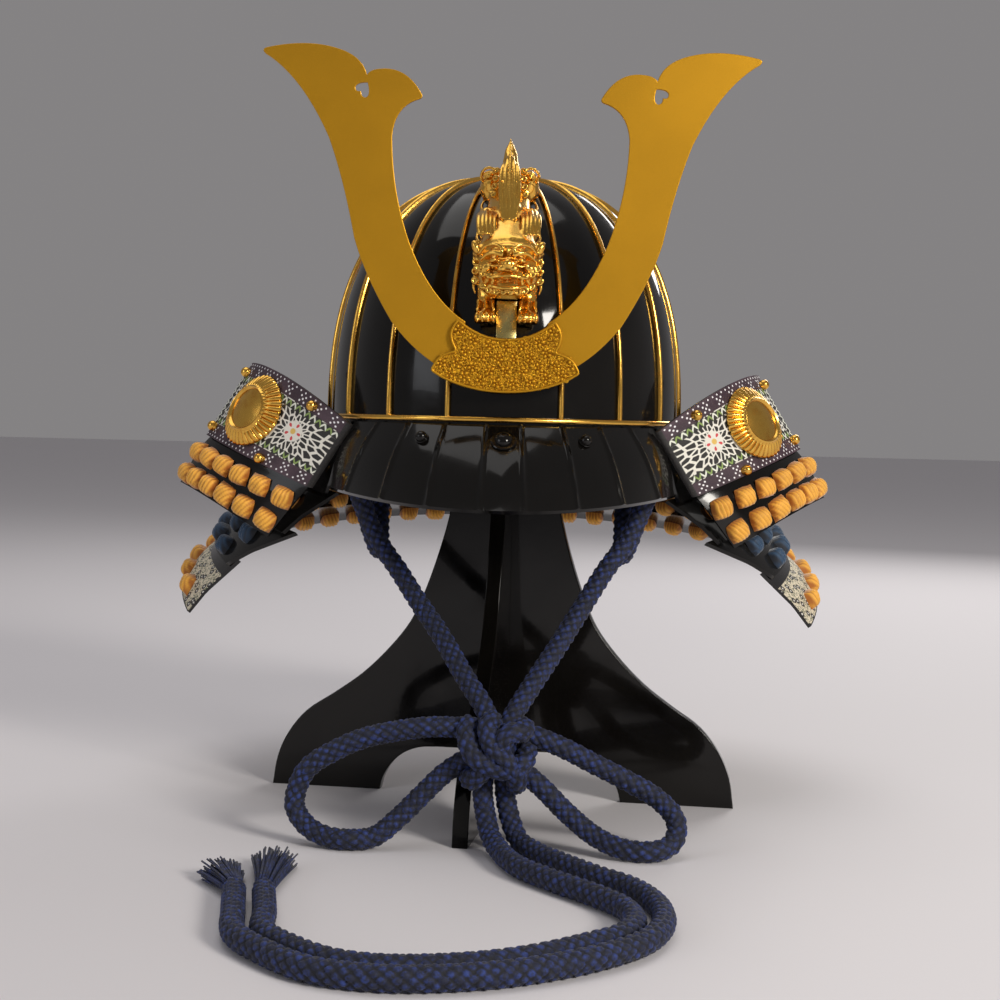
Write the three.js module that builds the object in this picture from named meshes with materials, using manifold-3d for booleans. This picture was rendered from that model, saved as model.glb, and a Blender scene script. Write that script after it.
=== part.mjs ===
// A kabuto: a samurai helmet with its neck guard, crest and tied cord, on a stand of two crossed
// boards. Millimetres, +Z up. The front of the helmet faces -Y, and its right as seen is +X.
import * as THREE from "three";
import { mergeVertices } from "three/addons/utils/BufferGeometryUtils.js";
import Module from "manifold-3d";

const wasm = await Module();
wasm.setup();

// ---- Driving dimensions ----

const clearance = 0.4; // left between neighbouring pieces
const dome = { halfWidth: 113.5, halfDepth: 126, height: 156, rimZ: 247, wall: 2.5, fullness: 2.5 };
const plates = { count: 16, frontAngle: 34.2, pitch: 20.3 }; // what is left makes the wide rear plate
const rib = { width: 3.4, height: 3, lift: 2.6 };
const bead = { radius: 1.7, standOff: 2.4 };
const crown = { radius: 22, height: 8 };

const visor = { endAngle: 52, wall: 2.2, frontReach: 168, frontZ: 195, endX: 108, endY: -73, endZ: 203 };
const visorRidges = { angles: [5, 17.2, 29, 40.5], fan: 1.08, height: 1.4, halfWidth: 1 };
const visorRivets = [
  { name: "visor_rivet_centre", angle: 0, radius: 7.6, domeRadius: 5.2 },
  { name: "visor_rivet_left", angle: -23, radius: 4.1, domeRadius: 3.6 },
  { name: "visor_rivet_right", angle: 23, radius: 4.1, domeRadius: 3.6 },
];

const crest = {
  frontY: -137.5, holderThickness: 3, hornThickness: 2, prongWidth: 12, prongFootZ: 266, prongTopZ: 317,
};
const heart = { x: 87, z: 438, size: 7.6 };

const standBoard = { thickness: 9.5, turn: -8.5, shiftX: 3, neckRadius: 33, arch: 30, foot: 153 };
const lacquerWall = 2.4;

// The lower edge of each lame: at its front tip and at the back, with how far its side swells out.
const lameEdges = [
  { frontAngle: 53, frontRadius: 116, frontZ: 244, backRadius: 130, backZ: 243, swell: 0 },
  { frontAngle: 61, frontRadius: 127, frontZ: 198, backRadius: 155, backZ: 222, swell: 8 },
  { frontAngle: 69, frontRadius: 148, frontZ: 173, backRadius: 178, backZ: 203, swell: 16 },
  { frontAngle: 83, frontRadius: 179, frontZ: 150, backRadius: 200, backZ: 188, swell: 24 },
  { frontAngle: 90, frontRadius: 206, frontZ: 116, backRadius: 222, backZ: 175, swell: 33 },
];
const lameOverlap = 0.16; // of a lame's own height, tucked behind the lame above

// The corners of the right turn-back: print from top to bottom, then the laced plate's lower edge.
const turnback = {
  wall: 2.4, bulge: 10, topArch: 6, lowerArch: 3, rollRadius: 3.2,
  top: { fold: [96, -83, 243], outer: [166, -6, 280.5] },
  middle: { fold: [122, -68, 202], outer: [195.5, -6, 232] },
  bottom: { fold: [147, -56, 170], outer: [212.5, 0, 201] },
};
const boss = { u: 0.61, v: 0.5, radius: 24.5, plainRadius: 15, height: 7, flutes: 16 };
const turnbackRivets = [
  { u: 0.22, v: 0.1 },
  { u: 0.36, v: 0.93 },
  { u: 0.955, v: 0.14 },
  { u: 0.955, v: 0.86 },
];
const rivetRadius = 4;
const silk = { radius: 6.5, height: 6, standOff: 0.9 };

const cord = { diameter: 12, sides: 8 };
const knotCentre = [-0.5, -158, 59.5];
const knotHalfSizes = [15, 11, 14];

// ---- Materials ----

function finish(color, roughness, metalness) {
  return new THREE.MeshStandardMaterial({ color, roughness, metalness });
}

const lacquer = finish(0x0a0908, 0.12, 0);
const gilt = finish(0xc98a1e, 0.25, 1);
const satinGold = finish(0xa87008, 0.45, 0.9);
const printedLeather = finish(0xcfc9bb, 0.6, 0);
const orangeSilk = finish(0xf09a20, 0.8, 0);
const navySilk = finish(0x16324a, 0.8, 0);
const navyCord = finish(0x1c2c62, 0.85, 0);

// ---- Shape helpers ----

const radians = THREE.MathUtils.degToRad;
const { lerp } = THREE.MathUtils;

function vector(values) {
  return new THREE.Vector3(...values);
}

// A closed geometry from points and triangles of their numbers, turned to face out.
function closedGeometry(points, triangles) {
  const same = (a, b) => points[a].distanceTo(points[b]) < 1e-3;
  const kept = triangles.filter(([a, b, c]) => !same(a, b) && !same(b, c) && !same(c, a));
  let volume = 0;
  for (const [a, b, c] of kept)
    volume += points[a].dot(points[b].clone().cross(points[c]));
  const facing = volume < 0 ? kept.map(([a, b, c]) => [a, c, b]) : kept;
  const geometry = new THREE.BufferGeometry().setFromPoints(facing.flat().map((i) => points[i]));
  geometry.computeVertexNormals();
  return geometry;
}

function quad(a, b, c, d) {
  return [[a, b, c], [a, c, d]];
}

// A wall between two grids of points, grid[row][column]. A round one joins its last column to its first.
function wallBetween(outer, inner, round = false) {
  const [rows, columns] = [outer.length, outer[0].length];
  const near = (row, column) => row * columns + (column % columns);
  const far = (row, column) => rows * columns + near(row, column);
  const triangles = [];
  const spans = round ? columns : columns - 1;
  for (let column = 0; column < spans; column++) {
    const next = column + 1;
    for (let row = 0; row < rows - 1; row++) {
      const below = row + 1;
      triangles.push(...quad(near(row, column), near(row, next), near(below, next), near(below, column)));
      triangles.push(...quad(far(below, column), far(below, next), far(row, next), far(row, column)));
    }
    const last = rows - 1;
    triangles.push(...quad(near(0, next), near(0, column), far(0, column), far(0, next)));
    triangles.push(...quad(near(last, column), near(last, next), far(last, next), far(last, column)));
  }
  for (let row = 0; row < rows - 1 && !round; row++) {
    const [below, last] = [row + 1, columns - 1];
    triangles.push(...quad(near(row, 0), near(below, 0), far(below, 0), far(row, 0)));
    triangles.push(...quad(near(below, last), near(row, last), far(row, last), far(below, last)));
  }
  return closedGeometry([...outer.flat(), ...inner.flat()], triangles);
}

// A solid through rings of points, with a flat cap at each end.
function loft(rings) {
  const [sides, last] = [rings[0].length, rings.length - 1];
  const triangles = [];
  for (let ring = 0; ring < last; ring++)
    for (let side = 0; side < sides; side++) {
      const [here, above, next] = [ring * sides, (ring + 1) * sides, (side + 1) % sides];
      triangles.push(...quad(here + side, here + next, above + next, above + side));
    }
  for (let side = 1; side < sides - 1; side++) {
    triangles.push([0, side + 1, side]);
    triangles.push([last * sides, last * sides + side, last * sides + side + 1]);
  }
  return closedGeometry(rings.flat(), triangles);
}

function range(count, value) {
  return Array.from({ length: count }, (_, index) => value(index));
}

// rows by columns of point(across, down), both from 0 to 1.
function grid(rows, columns, point) {
  return range(rows, (row) =>
    range(columns, (column) => point(column / (columns - 1), row / (rows - 1))));
}

function mesh(name, geometry, material) {
  const made = new THREE.Mesh(geometry, material);
  made.name = name;
  return made;
}

function toSolid(geometry) {
  const bare = new THREE.BufferGeometry();
  bare.setAttribute("position", geometry.getAttribute("position").clone());
  if (geometry.index) bare.setIndex(geometry.index.clone());
  const merged = mergeVertices(bare, 1e-3);
  return new wasm.Manifold(new wasm.Mesh({
    numProp: 3,
    vertProperties: new Float32Array(merged.attributes.position.array),
    triVerts: new Uint32Array(merged.index.array),
  }));
}

function fromSolid(solid) {
  const { vertProperties, triVerts } = solid.getMesh();
  const geometry = new THREE.BufferGeometry();
  geometry.setAttribute("position", new THREE.BufferAttribute(new Float32Array(vertProperties), 3));
  geometry.setIndex(new THREE.BufferAttribute(new Uint32Array(triVerts), 1));
  geometry.computeVertexNormals();
  return geometry;
}

function join(geometries) {
  return geometries.map(toSolid).reduce((whole, part) => whole.add(part));
}

// An egg shape: its centre, its half sizes, and how far it is tipped about X, in degrees.
function egg(centre, halfSizes, tip = 0, around = 8, down = 5) {
  return new THREE.SphereGeometry(1, around, down)
    .scale(...halfSizes)
    .rotateX(radians(tip))
    .translate(...centre);
}

// A plate cut to a shape drawn in X and Z, with its front face at frontY.
function uprightPlate(shape, frontY, thickness, bevel = 0) {
  return new THREE.ExtrudeGeometry(shape, {
    depth: thickness - 2 * bevel,
    curveSegments: 4,
    bevelEnabled: bevel > 0,
    bevelThickness: bevel,
    bevelSize: bevel,
    bevelOffset: -bevel,
    bevelSegments: 1,
  }).rotateX(Math.PI / 2).translate(0, frontY + thickness - bevel, 0);
}

function mirrored(points) {
  return [...points, ...points.slice().reverse().map(([x, z]) => [-x, z]).filter(([x]) => x)];
}

function shapeOf(points) {
  return new THREE.Shape(points.map(([x, z]) => new THREE.Vector2(x, z)));
}

// ---- Bowl ----

// A point of the dome: angle in degrees from the front towards +X, rise from 0 at the rim to 90 at the
// crown, and how far the point stands off the outer face.
function domePoint(angle, rise, off = 0) {
  const out = Math.cos(radians(rise)) ** (2 / dome.fullness);
  const up = Math.sin(radians(rise)) ** (2 / dome.fullness);
  return vector([
    (dome.halfWidth + off) * out * Math.sin(radians(angle)),
    -(dome.halfDepth + off) * out * Math.cos(radians(angle)),
    dome.rimZ + (dome.height + off) * up,
  ]);
}

const ribAngles = range(plates.count, (index) =>
  index < plates.count / 2
    ? plates.frontAngle / 2 + index * plates.pitch
    : 360 - plates.frontAngle / 2 - (plates.count - 1 - index) * plates.pitch);
const domeRises = [0, 15, 30, 45, 60, 73, 81.5, 90];

// The angles of the ribs, with the middle of each plate between them.
function plateAngles() {
  return ribAngles.flatMap((angle, index) => {
    const next = index + 1 < ribAngles.length ? ribAngles[index + 1] : 360 + ribAngles[0];
    return [angle, (angle + next) / 2];
  });
}

function bowlGeometry(outside, inside) {
  const face = (off) => domeRises.map((rise) => plateAngles().map((angle) =>
    domePoint(angle, rise, off)));
  return wallBetween(face(outside), face(inside), true);
}

// A gilt strip over one joint of the plates, from the bead to the crown fitting.
function ribGeometry(angle) {
  const topRise = domeRises[domeRises.length - 2];
  const side = vector([Math.cos(radians(angle)), Math.sin(radians(angle)), 0]);
  const rings = domeRises.slice(0, -1).map((rise) => {
    const lift = vector([0, 0, rise === 0 ? rib.lift : 0]);
    const low = domePoint(angle, rise, clearance + 0.2);
    const high = domePoint(angle, rise, rib.height);
    const narrowing = lerp(1, 0.6, (rise / topRise) ** 3);
    const corners = [[low, -0.5], [high, -0.36], [high, 0.36], [low, 0.5]];
    return corners.map(([point, across]) => point.clone()
      .addScaledVector(side, across * rib.width * narrowing).add(lift));
  });
  return loft(rings);
}

// A ring of round section under the ribs, stretched to the oval of the dome.
function beadGeometry() {
  const ringRadius = dome.halfWidth + bead.standOff;
  const profile = range(6, (index) => {
    const turn = (index / 5) * 2 * Math.PI;
    return new THREE.Vector2(ringRadius + bead.radius * Math.cos(turn), bead.radius * Math.sin(turn));
  });
  const stretch = (dome.halfDepth + bead.standOff) / ringRadius;
  return new THREE.LatheGeometry(profile, 28).rotateX(Math.PI / 2)
    .scale(1, stretch, 1).translate(0, 0, dome.rimZ);
}

function crownGeometry() {
  const { radius, height } = crown;
  const base = dome.rimZ + dome.height + clearance;
  const steps = [
    [0, 0], [1, 0], [0.94, 0.26], [0.64, 0.32], [0.56, 0.74], [0.36, 1], [0.22, 1], [0.16, 0.7],
    [0, 0.7],
  ];
  const profile = steps.map(([out, up]) => new THREE.Vector2(out * radius, up * height));
  return new THREE.LatheGeometry(profile, 12).rotateX(Math.PI / 2).translate(0, 0, base);
}

// ---- Visor ----

// A point of the visor: angle from the front, and depth from 0 at its upper to 1 at its lower edge.
function visorPoint(angle, depth, off = 0) {
  const share = Math.sin(radians(angle)) / Math.sin(radians(visor.endAngle));
  const forward = (Math.cos(radians(angle)) - Math.cos(radians(visor.endAngle))) /
    (1 - Math.cos(radians(visor.endAngle)));
  const top = domePoint(angle, 0, 3).setZ(dome.rimZ - bead.radius - 1.4);
  const bottom = vector([
    visor.endX * share,
    lerp(visor.endY, -visor.frontReach, forward),
    lerp(visor.frontZ, visor.endZ, share * share),
  ]);
  const out = vector([Math.sin(radians(angle)), -Math.cos(radians(angle)), 0.9]).normalize();
  const swell = 3 * Math.sin(Math.PI * depth);
  return top.lerp(bottom, depth).addScaledVector(out, off + swell);
}

function visorGeometry() {
  const columns = [-visor.endAngle, visor.endAngle, 0].map((angle) => ({ angle, fan: 1, raise: 0 }));
  for (const ridge of visorRidges.angles)
    for (const side of [-1, 1])
      for (const [shift, raise] of [[-1, 0], [0, visorRidges.height], [1, 0]])
        columns.push({
          angle: side * ridge + shift * visorRidges.halfWidth,
          fan: visorRidges.fan,
          raise,
        });
  for (const middle of [-46.5, -23, -11, 11, 23, 46.5])
    columns.push({ angle: middle, fan: 1, raise: 0 });
  columns.sort((a, b) => a.angle - b.angle);
  const face = (off, raised) => [0, 0.5, 1].map((depth) => columns.map(({ angle, fan, raise }) =>
    visorPoint(Math.min(Math.max(angle * lerp(1, fan, depth), -visor.endAngle), visor.endAngle), depth,
      off + raised * raise)));
  return wallBetween(face(0, 1), face(-visor.wall, 0));
}

// A domed rivet on a small flange, set square to the visor.
function visorRivetMesh({ name, angle, radius, domeRadius }) {
  const profile = [
    [0, 0], [radius, 0], [radius, 1], [domeRadius, 1.4], [domeRadius * 0.7, 4], [0, 5.2],
  ].map(([out, up]) => new THREE.Vector2(out, up));
  const rivet = mesh(name, new THREE.LatheGeometry(profile, 8), lacquer);
  const place = visorPoint(angle, 0.22, 0);
  const normal = visorPoint(angle, 0.4).sub(visorPoint(angle, 0.05))
    .cross(visorPoint(angle + 4, 0.22).sub(visorPoint(angle - 4, 0.22))).normalize();
  if (normal.y > 0) normal.negate();
  rivet.quaternion.setFromUnitVectors(vector([0, 1, 0]), normal);
  rivet.position.copy(place.addScaledVector(normal, radius > 5 ? 1.1 : 0.9));
  return rivet;
}

// ---- Crest ----

// The right half of the holder's outline, from the middle of its hollow top to its lowest point.
function holderShape() {
  return shapeOf(mirrored([
    [0, 294.6], [10, 295.6], [19, 299.2], [28, 305], [31.5, 301], [32.8, 296], [30, 287],
    [36, 285], [40.5, 281.5], [43.4, 275], [37, 270.5], [26, 266.3], [13, 263.4], [0, 262.6],
  ]));
}

// The right horn, from its inner lobe over the notch to its outer tip, then down both edges.
function hornShape() {
  const shape = new THREE.Shape();
  shape.moveTo(85, 447);
  shape.quadraticCurveTo(88, 458.5, 104, 462.5);
  shape.quadraticCurveTo(122, 467.5, 146.6, 460.8);
  shape.quadraticCurveTo(124, 445, 106.5, 410);
  shape.quadraticCurveTo(97, 385, 90.4, 352);
  shape.quadraticCurveTo(84, 330, 67.3, 303);
  shape.quadraticCurveTo(55, 287, 40, 278);
  shape.lineTo(24, 284);
  shape.lineTo(24, 304);
  shape.quadraticCurveTo(45, 317, 58, 350);
  shape.quadraticCurveTo(69, 380, 69.4, 412);
  shape.quadraticCurveTo(68, 431, 52, 434.7);
  shape.quadraticCurveTo(62, 453, 78, 450.6);
  shape.quadraticCurveTo(83, 450, 85, 447);
  return shape;
}

function heartShape() {
  const { x, z, size } = heart;
  const path = new THREE.Shape();
  path.moveTo(x, z - size * 0.6);
  path.quadraticCurveTo(x - size * 0.7, z, x - size * 0.45, z + size * 0.35);
  path.quadraticCurveTo(x - size * 0.15, z + size * 0.55, x, z + size * 0.15);
  path.quadraticCurveTo(x + size * 0.15, z + size * 0.55, x + size * 0.45, z + size * 0.35);
  path.quadraticCurveTo(x + size * 0.7, z, x, z - size * 0.6);
  return path;
}

function hornGeometry(side) {
  const back = crest.frontY + crest.holderThickness + clearance;
  const horn = toSolid(uprightPlate(hornShape(), back, crest.hornThickness));
  const hole = toSolid(uprightPlate(heartShape(), back - 1, crest.hornThickness + 2));
  return onSide(fromSolid(horn.subtract(hole)), side);
}

// The strip that stands before the bowl and carries the holder, which hides its foot. Drawn in Y and Z.
function prongGeometry() {
  const face = crest.frontY + crest.holderThickness + clearance;
  const back = -dome.halfDepth - 1.6;
  const side = shapeOf([
    [back, crest.prongFootZ], [back, crest.prongTopZ], [back - 2.6, crest.prongTopZ], [back - 2.6, 292],
    [face, 290], [face, crest.prongFootZ],
  ]);
  return new THREE.ExtrudeGeometry(side, { depth: crest.prongWidth, bevelEnabled: false })
    .rotateX(Math.PI / 2).rotateZ(Math.PI / 2).translate(-crest.prongWidth / 2, 0, 0);
}

// ---- Lion ----

// One lock of the mane or the tail: a tapered drop from its root to its tip.
function lock(root, tip, radius, around = 6) {
  const [from, to] = [vector(root), vector(tip)];
  const length = from.distanceTo(to);
  const profile = [[0, 0], [0.8, 0.1], [1, 0.35], [0.7, 0.75], [0, 1]]
    .map(([out, up]) => new THREE.Vector2(out * radius, up * length));
  const drop = new THREE.LatheGeometry(profile, around);
  drop.applyQuaternion(new THREE.Quaternion()
    .setFromUnitVectors(vector([0, 1, 0]), to.clone().sub(from).normalize()));
  return drop.translate(...root);
}

// A limb or trunk: oval rings square to a line through its stations, each in Y and Z at a fixed X.
function limb(x, stations, around = 8) {
  const rings = stations.map(({ y, z, halfWidth, halfDepth }, index) => {
    const before = stations[Math.max(index - 1, 0)];
    const after = stations[Math.min(index + 1, stations.length - 1)];
    const along = vector([0, after.y - before.y, after.z - before.z]).normalize();
    const deep = along.clone().cross(vector([1, 0, 0]));
    return range(around, (corner) => {
      const turn = (corner / around) * 2 * Math.PI;
      return vector([x + halfWidth * Math.cos(turn), y, z])
        .addScaledVector(deep, halfDepth * Math.sin(turn));
    });
  });
  return loft(rings);
}

const lionTrunk = [
  { y: -66, z: 394, halfWidth: 7, halfDepth: 5 },
  { y: -84, z: 388, halfWidth: 12.5, halfDepth: 9 },
  { y: -104, z: 371, halfWidth: 13.5, halfDepth: 11 },
  { y: -121, z: 354, halfWidth: 15.5, halfDepth: 13 },
  { y: -133, z: 345, halfWidth: 18.6, halfDepth: 13.5 },
  { y: -139, z: 333, halfWidth: 19.4, halfDepth: 14.5 },
  { y: -141, z: 322, halfWidth: 15, halfDepth: 10 },
  { y: -142, z: 318, halfWidth: 10, halfDepth: 6 },
];
const lionForeleg = [
  { y: -114, z: 352, halfWidth: 5, halfDepth: 6 },
  { y: -124, z: 338, halfWidth: 6.8, halfDepth: 9 },
  { y: -127, z: 318, halfWidth: 5.6, halfDepth: 6.4 },
  { y: -129, z: 311.5, halfWidth: 6.4, halfDepth: 8 },
  { y: -131, z: 306, halfWidth: 7.2, halfDepth: 9.4 },
  { y: -131, z: 303, halfWidth: 6.4, halfDepth: 8.4 },
];

function lionParts() {
  const parts = [
    limb(0, lionTrunk, 12),
    lionTail(),
    egg([0, -152, 336], [7.5, 5, 6], 0, 7, 5),
    egg([0, -149, 346], [12, 5, 3.6], 0, 8, 4),
  ];
  for (const side of [-1, 1]) {
    parts.push(limb(side * 12.4, lionForeleg));
    parts.push(lock([side * 12.5, -110, 373], [side * 13, -129, 349], 7, 7));
    parts.push(egg([side * 12, -88, 389], [6.6, 9, 12], 30, 7, 5));
    parts.push(egg([side * 12.6, -71, 388], [6, 12, 6], -24, 6, 3));
    parts.push(egg([side * 8, -152, 340.5], [3.2, 2.6, 2.6], 0, 5, 4));
    parts.push(egg([side * 18, -138, 345], [2.6, 4, 5], 0, 5, 4));
    parts.push(egg([side * 8, -151, 330.5], [6, 3, 2.6], 0, 6, 4));
  }
  return parts;
}

// A flame-shaped tail that lies along the back and stands up between the hips, fluted down its face.
function lionTail() {
  const steps = [
    { z: 366, half: 5.2 }, { z: 380, half: 6.8 }, { z: 397, half: 6.6 }, { z: 410, half: 4.2 },
    { z: 418.5, half: 0.5 },
  ];
  const rings = steps.map(({ z, half }) => range(10, (index) => {
    const turn = (index / 10) * 2 * Math.PI;
    const fluted = index % 2 ? 0.82 : 1;
    const lean = -121 + (z - 366) * 0.5;
    return vector([half * fluted * Math.cos(turn), lean + 0.8 * half * fluted * Math.sin(turn), z]);
  }));
  return loft(rings);
}

function lionGeometry() {
  const figure = join(lionParts());
  const keepOff = toSolid(bowlGeometry(clearance + 0.4, -60));
  const prongRoom = toSolid(new THREE.BoxGeometry(crest.prongWidth + 1, 40, 60)
    .translate(0, -140, crest.prongTopZ + clearance - 30));
  const mouth = toSolid(egg([0, -154, 325.6], [12, 6, 1.7], 0, 6, 4));
  return fromSolid(figure.subtract(keepOff).subtract(prongRoom).subtract(mouth)
    .decompose().sort((a, b) => b.volume() - a.volume())[0]);
}

// ---- Turn-backs ----

// A point of the right turn-back: u from the fold to the outer end, v from 0 at the top over 1 at the
// foot of the print to 2 at the foot of the laced plate.
function turnbackPoint(u, v) {
  const edge = ({ fold, outer }, arch) => vector(fold).lerp(vector(outer), u)
    .add(vector([0, 0, arch * 4 * u * (1 - u)]));
  const [upper, lower] = v < 1
    ? [edge(turnback.top, turnback.topArch), edge(turnback.middle, 0)]
    : [edge(turnback.middle, 0), edge(turnback.bottom, turnback.lowerArch)];
  const bulge = vector([0.69, -0.66, 0.3]).multiplyScalar(turnback.bulge * 4 * u * (1 - u));
  return upper.lerp(lower, v < 1 ? v : v - 1).add(bulge);
}

function turnbackNormal(u, v) {
  const step = 0.02;
  const across = turnbackPoint(u + step, v).sub(turnbackPoint(u - step, v));
  const down = turnbackPoint(u, v + step).sub(turnbackPoint(u, v - step));
  return down.cross(across).normalize();
}

function turnbackFace(u, v, off) {
  return turnbackPoint(u, v).addScaledVector(turnbackNormal(u, Math.min(v, 1.9)), off);
}

// Mirrors a geometry to the left side and keeps its faces out.
function onSide(geometry, side) {
  return side > 0 ? geometry : fromSolid(toSolid(geometry).mirror([1, 0, 0]));
}

// The near edge of the print rolled under: a point of the roll, turned by turn degrees from the plate.
function rollPoint(turn, v, off) {
  const normal = turnbackNormal(0, v);
  const across = turnbackPoint(0.05, v).sub(turnbackPoint(0, v)).normalize();
  return turnbackPoint(0, v).addScaledVector(normal, -turnback.rollRadius)
    .addScaledVector(normal, (turnback.rollRadius + off) * Math.cos(radians(turn)))
    .addScaledVector(across, -(turnback.rollRadius + off) * Math.sin(radians(turn)));
}

// The printed plate with its rolled near edge and its rivets.
function upperTurnback(side) {
  const face = (off) => range(4, (row) => {
    const v = (row / 3) * 0.985;
    const roll = [75, 40].map((turn) => rollPoint(turn, v, off));
    return [...roll, ...range(8, (column) => turnbackFace(column / 7, v, off))];
  });
  const plate = wallBetween(face(0), face(-turnback.wall));
  const rivets = turnbackRivets.map(({ u, v }) => {
    const place = turnbackFace(u, v, 0.8);
    return egg(place.toArray(), range(3, () => rivetRadius), 0, 6, 4);
  });
  return onSide(fromSolid(join([plate, ...rivets])), side);
}

function lowerTurnback(side) {
  const back = -turnback.wall - clearance - 0.8;
  const face = (off) => grid(4, 8, (across, down) =>
    turnbackFace(across, lerp(0.93, 2, down), off + lerp(back, 0, Math.min(1, down * 3))));
  return onSide(wallBetween(face(0), face(-turnback.wall)), side);
}

// The fluted boss: a plain round middle inside a ring of flutes, bent to the plate's curve.
function bossGeometry(side) {
  const { u, v, radius, plainRadius, height, flutes } = boss;
  const uPerMm = 0.02 / turnbackPoint(u + 0.01, v).distanceTo(turnbackPoint(u - 0.01, v));
  const vPerMm = 0.02 / turnbackPoint(u, v + 0.01).distanceTo(turnbackPoint(u, v - 0.01));
  const ring = (reach, off, fluted = 0) => range(flutes * 2, (index) => {
    const turn = (index / flutes) * Math.PI;
    const out = reach * (index % 2 ? 1 : 1 - fluted);
    return turnbackFace(u + out * uPerMm * Math.cos(turn), v + out * vPerMm * Math.sin(turn), off);
  });
  const base = clearance + 0.4;
  return onSide(loft([
    ring(4, base), ring(radius, base, 0.05), ring(plainRadius + 2, base + height - 1.6),
    ring(plainRadius, base + height),
  ]), side);
}

// ---- Neck guard ----

// A point on the lower edge of lame number edge: share from 0 at its right front tip to 1 at the back.
function lameEdgePoint(edge, share) {
  const { frontAngle, frontRadius, frontZ, backRadius, backZ, swell } = lameEdges[edge];
  const half = share <= 1 ? share : 2 - share;
  const angle = lerp(frontAngle, 180, half);
  const eased = 1 - (1 - half) ** 2.2;
  let radius = lerp(frontRadius, backRadius, eased) + swell * Math.sin(Math.PI * half) * (1 - half);
  if (edge === 0) {
    const [across, along] = [dome.halfWidth + 2.8, dome.halfDepth + 2.8];
    radius = (across * along) / Math.hypot(along * Math.sin(radians(angle)),
      across * Math.cos(radians(angle)));
  }
  const side = share <= 1 ? 1 : -1;
  return vector([
    side * radius * Math.sin(radians(angle)),
    -radius * Math.cos(radians(angle)),
    lerp(frontZ, backZ, eased),
  ]);
}

// A point of a lame: share round from the right tip (0) over the back (1) to the left tip (2), depth
// from 0 at its upper to 1 at its lower edge.
function lamePoint(lame, share, depth, off = 0) {
  const tuck = lame > 1 ? lameOverlap : 0;
  const upper = lameEdgePoint(lame - 1, share);
  const lower = lameEdgePoint(lame, share);
  const down = lerp(-tuck, 1, depth);
  const slope = lower.clone().sub(upper);
  const out = vector([upper.x, upper.y, 0]).normalize();
  const normal = out.clone().multiplyScalar(-slope.z)
    .add(vector([0, 0, slope.dot(out)])).normalize();
  const step = lame > 1 ? lerp(-lacquerWall - clearance - 1.8, 0, Math.min(1, depth * 1.6)) : 0;
  return upper.lerp(lower, down).addScaledVector(normal, off + step);
}

function lameGeometry(lame) {
  const columns = 25;
  const face = (off) => [0, 0.5, 1].map((depth) => range(columns, (column) =>
    lamePoint(lame, (2 * column) / (columns - 1), depth, off)));
  return wallBetween(face(0), face(-lacquerWall));
}

// ---- Lacing ----

// A row of silk knots as one lumpy strip. place(share, off, up) gives a point at share along the row,
// off the surface by off, and up across the row by up, in millimetres.
function knotRow(knots, place) {
  const rings = range(2 * knots + 1, (index) => {
    const size = index % 2 ? 1 : 0.45;
    const share = index / (2 * knots);
    return [
      place(share, silk.standOff, -silk.radius * size),
      place(share, silk.height * size, 0),
      place(share, silk.standOff, silk.radius * size),
    ];
  });
  return loft(rings);
}

function turnbackRow(side, v, knots) {
  return onSide(knotRow(knots, (share, off, up) => {
    const u = lerp(0.02, 0.98, share);
    const down = turnbackPoint(u, 1.9).sub(turnbackPoint(u, 1.1)).normalize();
    return turnbackFace(u, v, off).addScaledVector(down, up);
  }), side);
}

function lameRow(lame, depth, knots) {
  return knotRow(knots, (share, off, up) => {
    const round = lerp(0.03, 1.97, share);
    const down = lamePoint(lame, round, 1).sub(lamePoint(lame, round, 0.6)).normalize();
    return lamePoint(lame, round, depth, off).addScaledVector(down, up);
  });
}

// ---- Stand ----

// The right half of a board, from its top under the crown to its foot and back under the arch.
function boardOutline(slotFromTop) {
  const { neckRadius, shoulderZ, arch, foot, thickness } = standBoard;
  const inside = dome.rimZ + dome.height - dome.wall - 1;
  const slot = thickness / 2 + clearance;
  const middle = 205;
  const outer = [
    [12, inside], [22, inside - 2.5], [neckRadius - 4, inside - 6], [neckRadius, inside - 16],
    [neckRadius, 225], [36, 190], [44, 158], [54, 129], [62, 112], [75, 95], [93, 77], [112, 63],
    [131, 50], [143, 35], [150, 19], [foot, 0], [80, 0], [78, 8], [72, 18], [64, 25], [54, 29], [42, arch],
  ];
  return slotFromTop
    ? mirrored([[slot, middle - clearance], [slot, inside], ...outer])
    : mirrored([[0, inside], ...outer, [slot, arch], [slot, middle + clearance]]);
}

function boardMesh(name, slotFromTop, turn) {
  const board = mesh(name, uprightPlate(shapeOf(boardOutline(slotFromTop)),
    -standBoard.thickness / 2, standBoard.thickness), lacquer);
  board.rotation.z = radians(turn);
  board.position.x = standBoard.shiftX;
  return board;
}

// ---- Cord ----

// A tube of cord along its route, cut back where it enters a knot.
function cordGeometry(route, steps, trims = []) {
  const section = shapeOf(range(cord.sides, (index) => {
    const turn = ((index + 0.5) / cord.sides) * 2 * Math.PI;
    return [Math.cos(turn) * cord.diameter / 2, Math.sin(turn) * cord.diameter / 2];
  }));
  const path = new THREE.CatmullRomCurve3(route.map(vector), false, "centripetal");
  const tube = toSolid(new THREE.ExtrudeGeometry(section, {
    steps, bevelEnabled: false, extrudePath: path,
  }));
  const trimmed = trims.reduce((rest, trim) => rest.subtract(trim), tube);
  return fromSolid(trimmed.decompose().sort((a, b) => b.volume() - a.volume())[0]);
}

// ---- Cord routes, each from the knot outwards, for the right side where two are alike ----

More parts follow.
